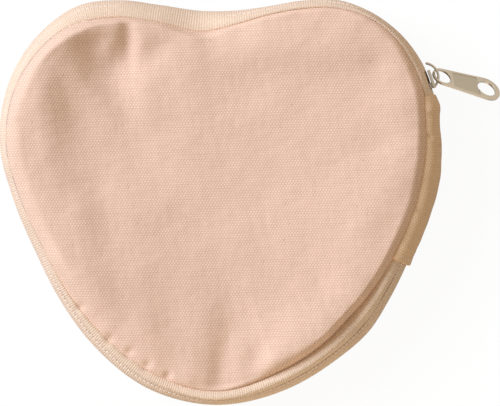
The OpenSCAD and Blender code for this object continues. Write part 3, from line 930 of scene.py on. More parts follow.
@dataclass
class PanelCover(Cover):
    """The front panel's canvas: it rounds over its shoulder, swells, sags to its middle and has folds of use.

    Waves are given as a random seed, the shortest and the longest wavelength. Names that end in _start are how far
    in from the seam a kind of relief takes to begin.
    """

    count: int = 864
    seam_gap: float = 0.1
    start_low: float = 0.4
    start_high: float = 0.06
    middle_rise: float = 12.2
    swell: float = 1.7
    swell_reach: float = 0.16
    sag: float = 3.2
    shoulder_reach: float = 0.55
    roll_rings: int = 9
    far_rings: int = 96
    even_share: float = 0.35
    uneven_power: float = 1.6
    calm: Place = (2.8, 3.2)
    seam_share: float = 0.3
    ripple: float = 0.06
    ripple_waves: Waves = (5, 9.0, 26.0)
    ripple_start: float = 8.0
    grain: float = 0.02
    grain_waves: Waves = (11, 3.0, 7.0)
    grain_start: float = 3.0
    pucker: float = 0.13
    pucker_waves: Waves = (3, 5.0, 15.0)
    pucker_reach: float = 5.0
    pinch: Place = (0.9, 1.5)
    folds: tuple[Fold, ...] = (
        Fold(((398, 110), (402, 180), (380, 255), (340, 315), (290, 360)), 1.5, 38.9, 38.9, True),
        Fold(((38, 80), (33, 140), (55, 215), (85, 280), (120, 328)), 1.0, 25.0, 25.0, True),
        Fold(((102, 36), (80, 58), (72, 92), (74, 135), (84, 180)), -2.4, 25.0, 25.0, True))
    swells: tuple[tuple[Place, float, float, float, float], ...] = (
        ((116, 70), -2.36, 38, 22, 69), ((76, 37), 1.80, 48, 19, 21), ((125, 105), -2.19, 38, 20, 108),
        ((79, 35), 1.80, 48, 16, 24), ((253, 323), -1.98, 35, 26, 134), ((112, 147), -1.92, 48, 25, 135),
        ((223, 367), -2.49, 48, 22, 87), ((69, 70), 1.66, 43, 23, 93), ((82, 196), 0.96, 48, 17, 95),
        ((153, 58), -0.95, 25, 13, 51), ((129, 39), -1.58, 26, 8, 93), ((279, 286), -1.04, 48, 26, 99),
        ((233, 92), -1.52, 48, 26, 25), ((381, 131), -1.18, 44, 25, 116), ((301, 51), 1.80, 48, 20, 175),
        ((157, 139), -1.03, 38, 26, 90), ((278, 378), -1.00, 48, 13, 20), ((103, 289), 1.80, 34, 26, 135),
        ((146, 324), 1.39, 48, 20, 101), ((85, 42), -1.35, 18, 11, 3), ((112, 28), 1.80, 48, 20, 178),
        ((343, 314), 1.80, 48, 26, 55), ((64, 265), 1.80, 48, 16, 141), ((52, 102), 0.62, 48, 17, 118),
        ((255, 361), -1.72, 22, 14, 60), ((108, 206), -0.70, 39, 22, 89), ((194, 38), 1.80, 48, 21, 101),
        ((219, 371), -0.38, 34, 8, 77), ((388, 225), -0.69, 45, 15, 55), ((375, 145), -0.70, 38, 16, 17),
        ((79, 74), 0.99, 17, 13, 95), ((376, 65), -0.75, 16, 14, 69), ((169, 76), -1.53, 48, 26, 174),
        ((224, 286), -0.92, 48, 26, 163), ((42, 74), 1.80, 48, 22, 58), ((110, 46), 0.93, 14, 9, 78),
        ((58, 58), -0.99, 46, 11, 48), ((46, 50), 1.80, 47, 6, 44), ((24, 85), 1.80, 48, 6, 70),
        ((49, 57), -0.76, 25, 6, 50), ((42, 54), 1.80, 48, 8, 47), ((29, 136), -1.30, 48, 16, 108),
        ((92, 67), -1.16, 45, 18, 7), ((51, 52), -0.81, 23, 6, 39))
    pinches: tuple[Place, ...] = ((82, 306), (111, 337), (130, 351), (148, 364), (168, 375))

    def build(self) -> bpy.types.Object:
        """Makes the panel.

        Returns:
            The piece.
        """
        edge = self.edge
        s = self.stations()
        soft = edge.roll(s, 1)
        lap = edge.lap(soft)
        seam = edge.wall(s, lap, Half.FRONT, self.start_low * (1 - soft) - self.start_high * soft)
        start = seam[:, :2] - self.seam_gap * (1 - soft)[:, None] * edge.outward(s)
        way, reach = self.spoke(start)
        rise = edge.seam_rise(s, Half.FRONT) + edge.shoulder(s)
        roll = edge.roll(s, 0) + edge.inset(s, Half.FRONT) * np.cos(lap * math.pi / 2)
        turn = np.linspace(0, math.pi / 2, self.roll_rings)[:, None]
        u = np.linspace(0, 1, self.far_rings + 1)[1:]
        grow = (self.even_share * u + (1 - self.even_share) * u**self.uneven_power)[:, None]
        rolled = roll * ((1 - np.cos(turn)) * (1 - soft) + turn * (2 / math.pi) * soft)
        d = np.vstack([rolled, roll + grow * (reach - roll)])[:-1]
        base = seam[:, 2] - edge.zip_z
        up = np.vstack([base + np.sin(turn) * (rise - base), np.repeat(rise[None], self.far_rings, 0)])[:-1]
        f = d / reach
        xy = start + way * f[..., None]
        fade = smooth(f / self.shoulder_reach)
        z = (up * (1 - fade) + self.middle_rise * fade
             + self.swell * (1 - np.exp(-f / self.swell_reach)) - self.sag * smooth(f))
        z = z + edge.zip_z + self.wrinkles(xy, s, d)
        outer = np.concatenate([xy, z[..., None]], -1)
        inner = outer - self.normals(outer) * self.cloth_t
        inner[0] = outer[0]
        inner[0, :, :2] -= self.cloth_t * edge.outward(s)
        return self.closed(outer, inner)

    def wrinkles(self, xy: Array, s: Array, d: Array) -> Array:
        """How far folds, puckers and soft waves move the cloth up.

        Args:
            xy: points in plan.
            s: each station's distance along the edge.
            d: each point's distance in from the seam.

        Returns:
            The height to add.
        """
        forms = [*self.folds, *(Swell(*row) for row in self.swells)]
        hard, soft = self.calm
        z = sum(form.height(xy) for form in forms)
        z *= ramp(d, -self.seam_share, hard + soft * self.edge.roll(s, 1))
        z += self.ripple * Ripples(*self.ripple_waves).at(xy) * smooth(d / self.ripple_start)
        z += self.grain * Ripples(*self.grain_waves).at(xy) * smooth(d / self.grain_start)
        z += self.pucker * Ripples(*self.pucker_waves).along(s) * smooth(d) * np.exp(-d / self.pucker_reach)
        for place in placed(self.pinches):
            z -= self.pinch[0] * near_to(xy, place, self.pinch[1])
        return z

    @staticmethod
    def normals(grid: Array) -> Array:
        """Unit normals of a closed grid of rings, pointing up."""
        return unit(np.cross(np.roll(grid, -1, 1) - np.roll(grid, 1, 1), np.gradient(grid, axis=0)))


@dataclass
class BackCover(Cover):
    """The back panel's canvas: flat where it lies, and turned up round its edge to meet the seam."""

    half: Half = Half.BACK
    seam_gap: float = 0.3
    turn_up: float = 4.6
    turn_rings: int = 9
    turn_power: float = 1.3
    flat_rings: int = 33
    pucker_waves: Waves = (8, 6.0, 16.0)
    pucker_turn: float = 1.5
    pucker_least: float = 0.6
    hollow: float = 0.3
    hollow_waves: Waves = (21, 14.0, 40.0)
    hollow_share: float = 0.6
    hollow_start: float = 6.0
    rim_lift: float = 0.5

    def build(self) -> bpy.types.Object:
        """Makes the panel.

        Returns:
            The piece.
        """
        edge = self.edge
        s = self.stations()
        seam = edge.wall(s, np.ones_like(s), Half.BACK)
        start = seam[:, :2] - self.seam_gap * edge.outward(s)
        way, reach = self.spoke(start)
        turned = np.outer(np.linspace(0, 1, self.turn_rings) ** self.turn_power, np.full_like(s, self.turn_up))
        flat = self.turn_up + np.outer(np.linspace(0, 1, self.flat_rings + 1)[1:], reach - self.turn_up)
        d = np.vstack([turned, flat])[:-1]
        xy = start + way * (d / reach)[..., None]
        puckers = 0.5 + 0.5 * np.cos(Ripples(*self.pucker_waves).along(s) * self.pucker_turn)
        z = edge.back_rise * (1 - smooth(d / (self.turn_up * (self.pucker_least + (1 - self.pucker_least) * puckers))))
        hollows = np.clip(Ripples(*self.hollow_waves).at(xy) * self.hollow_share, 0, 1)
        z += self.hollow * smooth(d / self.hollow_start) * hollows
        outer = np.concatenate([xy, z[..., None]], -1)
        inner = outer + [0, 0, self.cloth_t]
        inner[0, :, :2] = start - self.cloth_t * edge.outward(s)
        inner[0, :, 2] = outer[0, :, 2] + self.cloth_t * self.rim_lift
        return self.closed(outer, inner)


@dataclass
class ZipSide:
    """One side of the zip: its tape, the chain stitches that hold the coil, the coil and its core cord.

    Names that end in _at are shares of the tape's section, from the zip to the seam, and those that end in _w are
    widths in such shares. A _ramp is where a change starts and over what reach it comes.
    """

    edge: HeartEdge
    half: Half
    tape_t: float = 0.7
    step: float = 0.4325
    rows: int = 24
    last_row_at: float = 0.93
    fine_rows_at: tuple[float, ...] = (0.948, 0.962, 0.975, 0.988, 1.0)
    tucked_rows_at: Place = (1.042, 1.12)
    tucked_t: float = 0.42
    chain_pitch: float = 1.73
    chain_at: float = 0.51
    chain_sink: float = 0.1
    slack_sink: float = 0.14
    chain_ends: Place = (1.5, 1.0)
    bead: Triple = (0.9, 0.42, 0.26)
    bead_taper: float = 0.25
    slack: float = 0.15
    tight_ramp: Place = (17.0, 18.0)
    right_ramp: Place = (-25.0, 30.0)
    rib: float = 0.04
    rib_slack: float = 0.4
    rib_end_w: float = 0.05
    groove: float = 0.22
    groove_w: float = 0.055
    ledge: float = 0.12
    ledge_at: float = 0.37
    ledge_w: float = 0.07
    wave: float = 0.09
    waves: Waves = (31, 9.0, 30.0)
    recess: float = 0.7
    recess_ramp: Place = (-0.9, 1.2)
    recess_at: float = 0.5
    recess_w: float = 0.12
    valley: float = 0.3
    valley_ramp: Place = (0.945, 0.04)
    puff: float = 0.9
    puff_at: float = 0.78
    puff_w: float = 0.14
    pinch: Place = (0.9, 1.6)
    pinches: tuple[Place, ...] = ((80, 308), (109, 340), (129, 354), (147, 367))
    cover: float = 1.2
    cover_ramp: Place = (0.01, 0.06)
    thin: float = 0.3
    spare: float = 0.5
    gap: float = 0.2
    gap_at_slider: float = 0.9
    gap_reach: float = 9.0
    part: float = 0.9
    part_from: float = 0.16
    part_to: float = 0.3
    slider_l: float = 6.8
    coil_inset: float = 2.35
    row_half: float = 1.0
    coil_d: float = 2.6
    coil_sway: float = 0.14
    wire: float = 0.62
    wire_sides: int = 6
    per_turn: int = 14
    cord_d: float = 1.1
    cord_step: float = 0.45
    cord_sides: int = 12

    def parted(self, s: Array) -> Array:
        """Parts the rows where the slider is and past it.

        Args:
            s: distances along the edge.

        Returns:
            How far this row stands away from the meshed line.
        """
        first = self.edge.slider_at + self.part_from * self.slider_l
        last = self.edge.slider_at - self.part_to * self.slider_l
        return self.part * smooth((first - s) / (first - last))

    def relief(self, s: Array) -> Array:
        """How far the chain stitches stand out: fully along the lower edge, where the tape is pulled tight."""
        return self.slack + (1 - self.slack) * ramp(-self.edge.at(s)[..., 1], *self.tight_ramp)

    def right(self, s: Array) -> Array:
        """The share of the fuller look that the tape has towards the lower right."""
        return ramp(self.edge.at(s)[..., 0], *self.right_ramp)

    def puffed(self, s: Array, t: Array) -> Array:
        """How far the tape swells out between the chain stitches and the seam, most towards the lower right."""
        return self.puff * self.relief(s) * (1 + self.right(s)) * bump((t - self.puff_at) / self.puff_w)

    def worked(self, s: Array, t: Array) -> Array:
        """Works out the tape's ribs, its groove, its swell and its waves.

        Args:
            s: distances along the edge.
            t: shares of the tape's section.

        Returns:
            How deep the face lies at each point.
        """
        odd = np.where(np.arange(len(s))[:, None] % 2 == 0, 1.0, -1.0)
        relief = self.relief(s)
        depth = -self.rib * (self.rib_slack + (1 - self.rib_slack) * relief) * odd * smooth((1 - t) / self.rib_end_w)
        depth = depth + self.groove * relief * (1 + self.right(s)) * bump((t - self.chain_at) / self.groove_w)
        depth = depth - self.ledge * relief * bump((t - self.ledge_at) / self.ledge_w) - self.puffed(s, t)
        seed, *lengths = self.waves
        waves = Ripples(seed + self.half.value, *lengths).along(s)
        return depth + self.wave * waves * np.sin(np.clip(t, 0, 1) * math.pi)

    def tape(self) -> bpy.types.Object:
        """Weaves the tape, with ribs across it and a groove under the chain stitches.

        Returns:
            The piece.
        """
        edge = self.edge
        s = np.arange(edge.zip_start, edge.zip_end, self.step)[:, None]
        near = bump((s - edge.slider_at) / self.gap_reach)
        low = self.gap + (self.gap_at_slider - self.gap) * near + self.parted(s)
        first = edge.share_at(s, low, self.half)
        u = np.concatenate([np.linspace(0, self.last_row_at, self.rows), self.fine_rows_at])
        t = np.concatenate([first + (1 - first) * u, np.repeat([self.tucked_rows_at], len(s), 0)], 1)
        depth = self.worked(s, t)
        thick = self.tape_t + np.maximum(depth, 0) * self.spare
        if self.half is Half.FRONT:
            face = edge.wall(s, t, self.half, depth)
            for place in placed(self.pinches):
                depth = depth + self.pinch[0] * near_to(face, place, self.pinch[1])
            beside = ramp(self.slider_l / 2 - np.abs(s - edge.slider_at), *self.recess_ramp)
            depth = depth + self.recess * beside * smooth((self.recess_at - t) / self.recess_w)
            thick = np.maximum(self.tape_t, depth + self.thin)
            soft = edge.roll(s, 1)
            covered = self.cover * soft * ramp(t - edge.lap(soft), *self.cover_ramp)
            covered = covered + self.valley * (1 - soft) * ramp(t, *self.valley_ramp)
            depth, thick = depth + covered, thick + covered
        inner = edge.wall(s, t, self.half, thick)
        inner[:, -2:, 2] -= self.half.value * self.tucked_t
        return two_faced(f"{self.half.word}_zip_tape", edge.wall(s, t, self.half, depth), inner,
                         (s, t * edge.tape_w), self.half is Half.FRONT)

    def chain(self) -> bpy.types.Object:
        """Sews the row of chain stitches.

        Returns:
            The piece.
        """
        edge = self.edge
        s = np.arange(edge.zip_start + self.chain_ends[0], edge.zip_end - self.chain_ends[1], self.chain_pitch)
        t = np.full_like(s, self.chain_at)
        sunk = self.chain_sink + self.slack_sink * (1 - self.relief(s))
        middle = edge.wall(s, t, self.half, sunk - self.puffed(s, t))
        out = edge.wall(s, t, self.half, -1.0) - edge.wall(s, t, self.half)
        return beads(f"{self.half.word}_chain_stitch", middle, edge.level(s), out, self.bead, self.bead_taper)

    def row(self, s: Array, inward: Array, up: Array) -> Array:
        """Points round the row's middle line."""
        z = self.edge.zip_z + self.half.value * (self.row_half + self.parted(s) + up)
        return self.edge.point(s, self.coil_inset + inward, z)

    def coil(self) -> bpy.types.Object:
        """Winds the coil, whose turns reach between the turns of the other row.

        Returns:
            The piece.
        """
        edge = self.edge
        radius = (self.coil_d - self.wire) / 2
        first = edge.zip_start + self.chain_pitch * 0.5 * (1 + self.half.value * 0.5)
        turns = int((edge.zip_end - edge.zip_start) / self.chain_pitch) - 2
        a = np.arange(turns * self.per_turn + 1) / self.per_turn * TURN
        s = first + (a / TURN + self.coil_sway * np.sin(a)) * self.chain_pitch
        path = self.row(s, -radius * np.sin(a), -radius * np.cos(a))
        return tube(f"{self.half.word}_coil_turns", path, self.wire / 2, self.wire_sides)

    def cord(self) -> bpy.types.Object:
        """Lays the twisted cord that runs through the coil.

        Returns:
            The piece.
        """
        s = np.arange(self.edge.zip_start, self.edge.zip_end, self.cord_step)
        path = self.row(s, 0 * s, 0 * s)
        return tube(f"{self.half.word}_cord", path, self.cord_d / 2, self.cord_sides, strands=3, turn=0.9, groove=0.13)

    def dress(self, looks: Looks) -> None:
        """Makes this side of the zip and dresses it.

        Args:
            looks: the materials.
        """
        word = self.half.word
        for piece in (dressed(self.tape(), looks.tape, "zip_tape", f"{word}_tape"),
                      dressed(self.chain(), looks.thread, "zip_tape"),
                      dressed(self.coil(), looks.nylon, "coil", f"{word}_coil"),
                      dressed(self.cord(), looks.cord, "core_cord", f"{word}_core_cord")):
            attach(piece, self.half.body)


@dataclass
class Binding:
    """The folded tape inside that covers one seam's raw edges, with its row of stitches."""

    edge: HeartEdge
    half: Half
    width: float = 4.2
    thick: float = 1.5
    lean: float = 50.0
    tape_t: float = 0.7
    seam_gap: float = 0.3
    seam_gaps: int = 3
    step: float = 0.9
    sides: int = 20
    squash: float = 0.7
    full: float = 0.96
    skin: float = 0.02
    press: float = 0.3
    press_w: float = 0.5
    wave: float = 0.04
    waves: Waves = (41, 7.0, 20.0)
    stitch_at: float = 0.6
    stitch_up: float = 0.86
    stitch_pitch: float = 2.6
    stitch: Triple = (0.95, 0.2, 0.17)

    def section(self, s: Array, u: Array, v: Array) -> Array:
        """Points of the binding.

        Args:
            s: distances along the edge.
            u: distance in from the seam along the binding.
            v: height over its lower face.

        Returns:
            Points in millimetres.
        """
        c, n = math.cos(math.radians(self.lean)), math.sin(math.radians(self.lean))
        inset = self.edge.inset(s, self.half) + self.seam_gap + self.thick * n + u * c - v * n
        drop = self.tape_t + self.seam_gaps * self.seam_gap + u * n + v * c
        up = self.edge.seam_rise(s, self.half) - drop
        return self.edge.point(s, inset, self.edge.zip_z + self.half.value * up)

    def tape(self) -> bpy.types.Object:
        """Folds the binding tape round the raw edges.

        Returns:
            The piece.
        """
        s = np.arange(0, self.edge.length, self.step)[:, None]
        a = np.linspace(0, TURN, self.sides, endpoint=False)[None]
        w, h = self.width / 2, self.thick / 2
        across, down = (np.sign(q) * np.abs(q) ** self.squash for q in (np.cos(a), np.sin(a)))
        pressed = 1 - self.press * bump((np.cos(a) * w - self.stitch_at) / self.press_w)
        seed, *lengths = self.waves
        v = h + h * self.full * down * pressed + self.wave * Ripples(seed + self.half.value, *lengths).along(s)
        v = np.clip(v, self.skin, self.thick - self.skin)
        u = w + w * across + 0 * s
        cloth = np.stack([s + 0 * v, u + v], -1)
        return band(f"{self.half.word}_binding_tape", self.section(s, u, v), cloth, closed=True,
                    flip=self.half is Half.FRONT)

    def stitches(self) -> bpy.types.Object:
        """Sews the row of stitches along the binding.

        Returns:
            The piece.
        """
        s = np.arange(0, self.edge.length - 1, self.stitch_pitch)
        u, v = (np.full_like(s, q) for q in (self.width / 2 + self.stitch_at, self.thick * self.stitch_up))
        on = self.section(s, u, v)
        up = self.section(s, u, v + 1) - on
        return beads(f"{self.half.word}_binding_stitch", on, self.edge.level(s), up, self.stitch)

    def dress(self, looks: Looks) -> None:
        """Makes the binding and dresses it.

        Args:
            looks: the materials.
        """
        for piece in (dressed(self.tape(), looks.tape, "binding", f"{self.half.word}_binding"),
                      dressed(self.stitches(), looks.thread, "binding")):
            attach(piece, self.half.body)


@dataclass
class SideStrip:
    """The folded canvas strip over the zip's two ends, which is the hinge of the purse.

    Across the strip, w runs from -1 at the back seam to 1 at the front seam. Names that end in _w are measured so,
    and those that end in _reach are lengths over which a change comes.
    """

    edge: HeartEdge
    strip_t: float = 0.9
    gap: float = 0.3
    under: float = 0.12
    hem: float = 7.0
    hem_t: float = 0.2
    hem_reach: float = 1.2
    end_reach: float = 0.8
    step: float = 0.42
    end_steps: Place = (0.05, 0.18)
    columns: int = 53
    bunching: float = 0.98
    over_w: float = 1.02
    side_w: float = 0.8
    side_t: float = 0.15
    top_t: float = 0.45
    top_reach: float = 4.5
    ridge: float = 0.35
    ridge_at_w: float = 0.66
    ridge_w: float = 0.2
    ridge_reach: float = 6.0
    wave: float = 0.12
    waves: Waves = (17, 8.0, 22.0)
    waves_across: float = 9.0
    stitch_in: float = 2.2
    stitch_w: float = 0.16
    last_stitch_w: float = 0.86
    hair: float = 0.01
    stitch: Triple = (0.85, 0.18, 0.12)
    creases: tuple[Fold, ...] = (
        Fold(((425, 133), (432, 139)), -0.55, 2.2, 2.2), Fold(((444, 146), (434, 147)), -0.5, 1.8, 1.8),
        Fold(((441, 176), (430, 181)), -0.3, 3.0, 3.0), Fold(((424, 214), (415, 209)), -0.35, 3.0, 3.0),
        Fold(((436, 118), (427, 115)), -0.3, 3.0, 3.0))

    def face(self, s: Array, w: Array, depth: Array | float) -> Array:
        """Follows both tapes with the strip.

        Args:
            s: distances along the edge.
            w: places across the strip.
            depth: depths under the tapes' outer faces.

        Returns:
            Points in millimetres.
        """
        s, w, depth = np.broadcast_arrays(s, w, depth)
        front = self.edge.wall(s, np.maximum(w, 0), Half.FRONT, depth)
        back = self.edge.wall(s, np.maximum(-w, 0), Half.BACK, depth)
        return np.where((w >= 0)[..., None], front, back)

    def thickness(self, s: Array, w: Array) -> Array:
        """Works out the strip's outer face.

        Args:
            s: distances along the edge.
            w: places across the strip.

        Returns:
            How far it stands out from the tapes.
        """
        to_top = self.edge.strip_top - s
        to_end = np.minimum(s - self.edge.strip_low, to_top)
        full = self.gap + self.strip_t + self.hem_t * smooth((self.hem - to_end) / self.hem_reach)
        ends = np.sqrt(1 - np.clip(1 - to_end / self.end_reach, 0, 1) ** 2)
        ends = ends * (self.top_t + (1 - self.top_t) * smooth(to_top / self.top_reach))
        side = np.clip((np.abs(w) - self.side_w) / (self.over_w - self.side_w), 0, 1)
        sides = self.side_t + (1 - self.side_t) * np.sqrt(1 - side**2)
        ridge = self.ridge * bump((w - self.ridge_at_w) / self.ridge_w) * smooth(to_end / self.ridge_reach)
        waves = self.wave * Ripples(*self.waves).at(np.stack([s + 0 * w, w * self.waves_across + 0 * s], -1))
        return self.under + (full + ridge + waves - self.under) * ends * sides

    def build(self) -> bpy.types.Object:
        """Makes the strip as one closed piece.

        Returns:
            The piece.
        """
        low, top = self.edge.strip_low, self.edge.strip_top
        ends = [end + side * step for end, side in ((low, 1), (top, -1)) for step in self.end_steps]
        s = np.sort(np.concatenate([np.arange(low, top + self.hair, self.step), ends]))[:, None]
        quarter = math.pi / 2 * self.bunching
        w = np.sin(np.linspace(-1, 1, self.columns) * quarter)[None] / math.sin(quarter) * self.over_w
        out = self.thickness(s, w)
        flat = self.face(s, w, -out)[..., :2]
        for fold in self.creases:
            out = out + fold.height(flat) * (w > 0)
        inner = self.face(s, w, -self.under)
        return two_faced("side_strip_cover", self.face(s, w, -out), inner, (w * self.edge.tape_w, s), False)

    def stitches(self) -> bpy.types.Object:
        """Sews a row of stitches across each hemmed end.

        Returns:
            The piece.
        """
        row = np.arange(-self.last_stitch_w, self.last_stitch_w + self.hair, self.stitch_w)
        ends = (self.edge.strip_top - self.stitch_in, self.edge.strip_low + self.stitch_in)
        s, w = np.repeat(ends, len(row)), np.tile(row, 2)
        out = self.thickness(s, w)
        middle = self.face(s, w, -out)
        up = self.face(s, w, -out - 1) - middle
        fwd = unit(self.face(s, w + self.hair, -out) - self.face(s, w - self.hair, -out))
        return beads("side_strip_stitch", middle, fwd, up, self.stitch)

    def dress(self, looks: Looks) -> None:
        """Makes the strip and dresses it, and bakes its place into its mesh.

        Args:
            looks: the materials.
        """
        for piece in (dressed(self.build(), looks.strip_canvas, "strip_canvas", "side_strip"),
                      dressed(self.stitches(), looks.thread, "strip_canvas")):
            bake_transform(piece)


@dataclass
class Pull:
    """The slider's pull: a flat cast loop with a sunk panel that runs into its round hole."""

    edge: HeartEdge
    length: float = 27.2
    thick: float = 0.9
    end_w: float = 10.8
    eye_d: float = 6.3
    eye_rail: float = 0.85
    hole_d: float = 7.0
    recess_d: float = 0.2
    rim: float = 0.8
    near_rims: float = 1.5
    corner: float = 0.5
    meets: float = 0.9
    hang: Triple = (2.05, 1.224, 0.0)
    yaw: float = -15.0
    pitch: float = 22.1
    roll: float = -49.2
    bevel: float = 0.16
    core_bevel: float = 0.1
    core_inset: float = 0.06
    bevel_steps: int = 3

    def matrix(self) -> Matrix:
        """Hangs the pull on the slider's crown.

        Returns:
            Its place in the purse, in millimetres.
        """
        edge = self.edge
        at = Matrix.Translation((*edge.lobe_centre, edge.zip_z))
        at = at @ Matrix.Rotation(math.radians(edge.slider_angle), 4, "Z")
        at = at @ Matrix.Translation((edge.lobe_radius + self.hang[0], *self.hang[1:]))
        for angle, axis in ((self.yaw - edge.slider_angle, "Z"), (self.pitch, "Y"), (self.roll, "X")):
            at = at @ Matrix.Rotation(math.radians(angle), 4, axis)
        return at

    @staticmethod
    def arc(x: float, r: float, first: float, last: float, n: int = 64, y: float = 0.0) -> list[Place]:
        """Draws a circle or a part of one.

        Args:
            x: its centre along the pull.
            r: its radius.
            first: the angle that it starts at.
            last: the angle that it ends at.
            n: how many points it has.
            y: its centre across the pull.

        Returns:
            Its points.
        """
        a = np.radians(np.linspace(first, last, n, endpoint=last - first < 360))
        return [(x + r * math.cos(q), y + r * math.sin(q)) for q in a]

    def layer(self, name: str, loops: Sequence[Sequence[Place]], half: float, bevel: float,
              inset: float) -> bpy.types.Object:
        """Casts one flat layer with rounded edges.

        Args:
            name: the layer's name.
            loops: its outline, then its holes.
            half: half its thickness.
            bevel: the radius of its edges.
            inset: how far its walls stand back from the loops; a layer that stands back is marked as sunk.

        Returns:
            The layer as a mesh.
        """
        curve = bpy.data.curves.new(name, "CURVE")
        curve.dimensions = "2D"
        curve.fill_mode = "BOTH"
        curve.extrude = (half - bevel) * MM
        curve.bevel_depth = bevel * MM
        curve.bevel_resolution = self.bevel_steps
        curve.offset = -(bevel + inset) * MM
        for loop in loops:
            spline = curve.splines.new("POLY")
            spline.points.add(len(loop) - 1)
            spline.points.foreach_set("co", [c for x, y in loop for c in (x * MM, y * MM, 0.0, 1.0)])
            spline.use_cyclic_u = True
        made = added(name, curve)
        bpy.context.view_layer.update()
        mesh = bpy.data.meshes.new_from_object(made)
        bpy.data.objects.remove(made)
        # marks the sunk layer for the metal's painted shade
        low = mesh.attributes.new("sunk", "FLOAT", "POINT")
        low.data.foreach_set("value", [float(inset > 0)] * len(mesh.vertices))
        mesh.transform(Matrix.Scale(MM, 4) @ self.matrix() @ Matrix.Scale(1 / MM, 4))
        return added(name, mesh)

    def build(self) -> bpy.types.Object:
        """Casts the pull: a thin core and a full rim round the sunk panel.

        Returns:
            The piece.
        """
        eye_r, end_r, hole_r = self.eye_d / 2, self.end_w / 2, self.hole_d / 2
        rail_r = eye_r + self.eye_rail
        eye_x = rail_r - self.eye_rail / 2
        end_x = self.length - self.eye_rail / 2 - end_r
        taper = (end_r - rail_r) / (end_x - eye_x)
        slope = math.degrees(math.asin(taper))
        outline = self.arc(end_x, end_r, -90 - slope, 90 + slope) + self.arc(eye_x, rail_r, 90 + slope, 270 - slope)
        eye = self.arc(eye_x, eye_r, 0, 360)[::-1]
        hole = self.arc(end_x, hole_r, 0, 360)[::-1]
        near = eye_x + eye_r + self.near_rims * self.rim
        far = end_x - self.meets * hole_r

        def corner(x: float, way: float, side: int, first: float) -> list[Place]:
            """Rounds one corner of the sunk panel.

            Args:
                x: the end of the panel that the corner is at.
                way: 1 at the near end, -1 at the far one.
                side: 1 or -1, across the pull.
                first: the angle that the corner starts at.

            Returns:
                Its points.
            """
            half = rail_r + (x - eye_x) * taper - self.rim - self.corner
            return self.arc(x + way * self.corner, self.corner, first, first + 90, 9, side * half)

        cut = 180 - math.degrees(math.acos(self.meets))
        panel = (corner(near, 1, -1, 180) + corner(far, -1, -1, 270) + self.arc(end_x, hole_r, -cut, cut)
                 + corner(far, -1, 1, 0) + corner(near, 1, 1, 90))
        core = self.layer("pull_core", [outline, eye, hole], self.thick / 2 - self.recess_d, self.core_bevel,
                          self.core_inset)
        rim = self.layer("cast_pull", [outline, eye, panel[::-1]], self.thick / 2, self.bevel, 0.0)
        bpy.ops.object.select_all(action="DESELECT")
        for piece in (rim, core):
            piece.select_set(True)
        bpy.context.view_layer.objects.active = rim
        bpy.ops.object.join()
        rim.data.shade_smooth()
        return rim

    def dress(self, looks: Looks) -> None:
        """Makes the pull and plates it."""
        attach(dressed(self.build(), looks.metal, "pull_metal", "pull_tab"), "pull")


@dataclass
class Slider:
    """The slider, whose solid is shown itself with its edges rounded where they are sharp."""

    rounding: float = 0.14
    steps: int = 3
    sharp_angle: float = 40.0

    def dress(self, solid: bpy.types.Object, looks: Looks) -> None:
        """Plates the solid and rounds its edges.

        Args:
            solid: the slider's solid.
            looks: the materials.
        """
        solid.data.materials.clear()
        solid.data.materials.append(looks.metal)
        bevel = solid.modifiers.new("rounding", "BEVEL")
        bevel.width = self.rounding * MM
        bevel.segments = self.steps
        bevel.limit_method = "ANGLE"
        bevel.angle_limit = math.radians(self.sharp_angle)


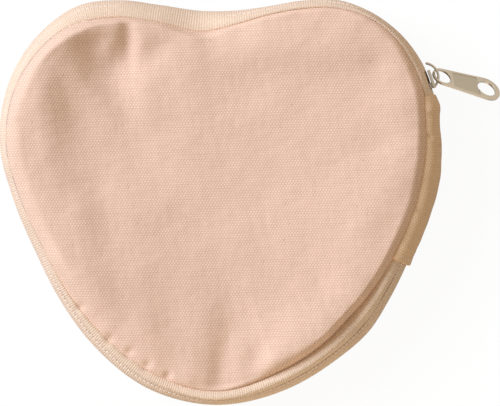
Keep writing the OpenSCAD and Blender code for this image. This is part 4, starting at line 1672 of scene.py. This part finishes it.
@dataclass
class Studio:
    """The camera straight above, a soft key light from the left, a warm fill and a white floor."""

    lens: float = 600.0
    sensor: float = 36.0
    distance: float = 3.0
    clip: Place = (0.1, 20.0)
    centre: Triple = (0.01026, -0.00018, 0.01286)
    key_elevation: float = 33.0
    key_azimuth: float = 155.0
    key_angle: float = 34.0
    key_level: Triple = (0.54, 0.60, 0.70)
    fill_level: Triple = (0.44, 0.38, 0.28)
    side_colour: Triple = (1.0, 0.84, 0.62)
    side_size: float = 0.10
    side_lamps: tuple[tuple[Triple, float], ...] = (((0.05, -0.20, 0.05), 0.065), ((0.19, 0.19, 0.05), 0.045))
    floor_tone: float = 0.94
    floor_bounce: Triple = (0.42, 0.38, 0.33)
    floor_reach: float = 3000.0

    def camera(self) -> None:
        """Stands the camera over the purse."""
        data = bpy.data.cameras.new("overhead")
        data.lens = self.lens
        data.sensor_width = self.sensor
        data.clip_start, data.clip_end = self.clip
        made = added("overhead", data)
        made.location = (*self.centre[:2], self.centre[2] + self.distance)
        bpy.context.scene.camera = made

    def lamp(self, name: str, kind: str, energy: float, colour: Sequence[float], way: Vector) -> bpy.types.Object:
        """Hangs a lamp.

        Args:
            name: its name.
            kind: its type.
            energy: its strength.
            colour: its colour.
            way: the direction from the purse to the lamp.

        Returns:
            The lamp.
        """
        data = bpy.data.lights.new(name, kind)
        data.energy = energy
        data.color = colour
        made = added(name, data)
        made.rotation_euler = way.to_track_quat("Z", "Y").to_euler()
        return made

    def lights(self) -> None:
        """Hangs the key light and two small warm lamps low beside the purse, and sets the world's fill."""
        a, e = math.radians(self.key_azimuth), math.radians(self.key_elevation)
        top = max(self.key_level)
        way = Vector((math.cos(a) * math.cos(e), math.sin(a) * math.cos(e), math.sin(e)))
        key = self.lamp("key", "SUN", math.pi / math.sin(e) * top, [c / top for c in self.key_level], way)
        key.data.angle = math.radians(self.key_angle)
        for place, watts in self.side_lamps:
            side = self.lamp("side_lamp", "AREA", watts, self.side_colour, Vector(place) - Vector(self.centre))
            side.location = place
            side.data.size = self.side_size
        bpy.context.scene.world = bpy.data.worlds.new("studio")
        tree = Tree(bpy.context.scene.world)
        tree.finish("Background", {"Color": tree.blend((*self.fill_level, 1), (1, 1, 1, 1), tree.seen())})

    def floor(self) -> None:
        """Lays the white floor, which keeps a faint shadow."""
        corners = np.array([[-1, -1, 0], [1, -1, 0], [1, 1, 0], [-1, 1, 0]]) * self.floor_reach
        obj = mesh_object("floor", corners, [[0, 1, 2, 3]])
        tree = Tree(bpy.data.materials.new("white_floor"))
        tree.nodes.remove(tree.nodes["Principled BSDF"])
        bounce = tree.node("BsdfDiffuse", {"Color": (*self.floor_bounce, 1)})
        shade = tree.node("BsdfDiffuse", {"Color": (1 - self.floor_tone,) * 3 + (1,)})
        glow = tree.node("Emission", {"Strength": self.floor_tone})
        both = tree.node("AddShader", {0: shade, 1: glow})
        surface = tree.node("MixShader", {0: tree.seen(), 1: bounce, 2: both})
        obj.data.materials.append(tree.finish("Material Output", {"Surface": surface}))

    def build(self) -> None:
        """Sets up the whole studio."""
        self.camera()
        self.lights()
        self.floor()
        bpy.context.scene.view_settings.view_transform = "Standard"


def main() -> None:
    """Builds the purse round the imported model."""
    logging.basicConfig(level=logging.INFO, format="%(message)s")
    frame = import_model()
    Studio().build()
    edge = HeartEdge()
    LOG.info("edge %.2f mm round, zip at %.3f mm", edge.length, edge.zip_z)
    looks = Looks()
    parts = [PanelCover(edge), BackCover(edge)]
    for half in Half:
        parts += [ZipSide(edge, half), Binding(edge, half)]
    for part in (*parts, SideStrip(edge), Pull(edge)):
        part.dress(looks)
    Slider().dress(frame["nodes"]["slider_body"], looks)


if __name__ == "__main__":
    main()
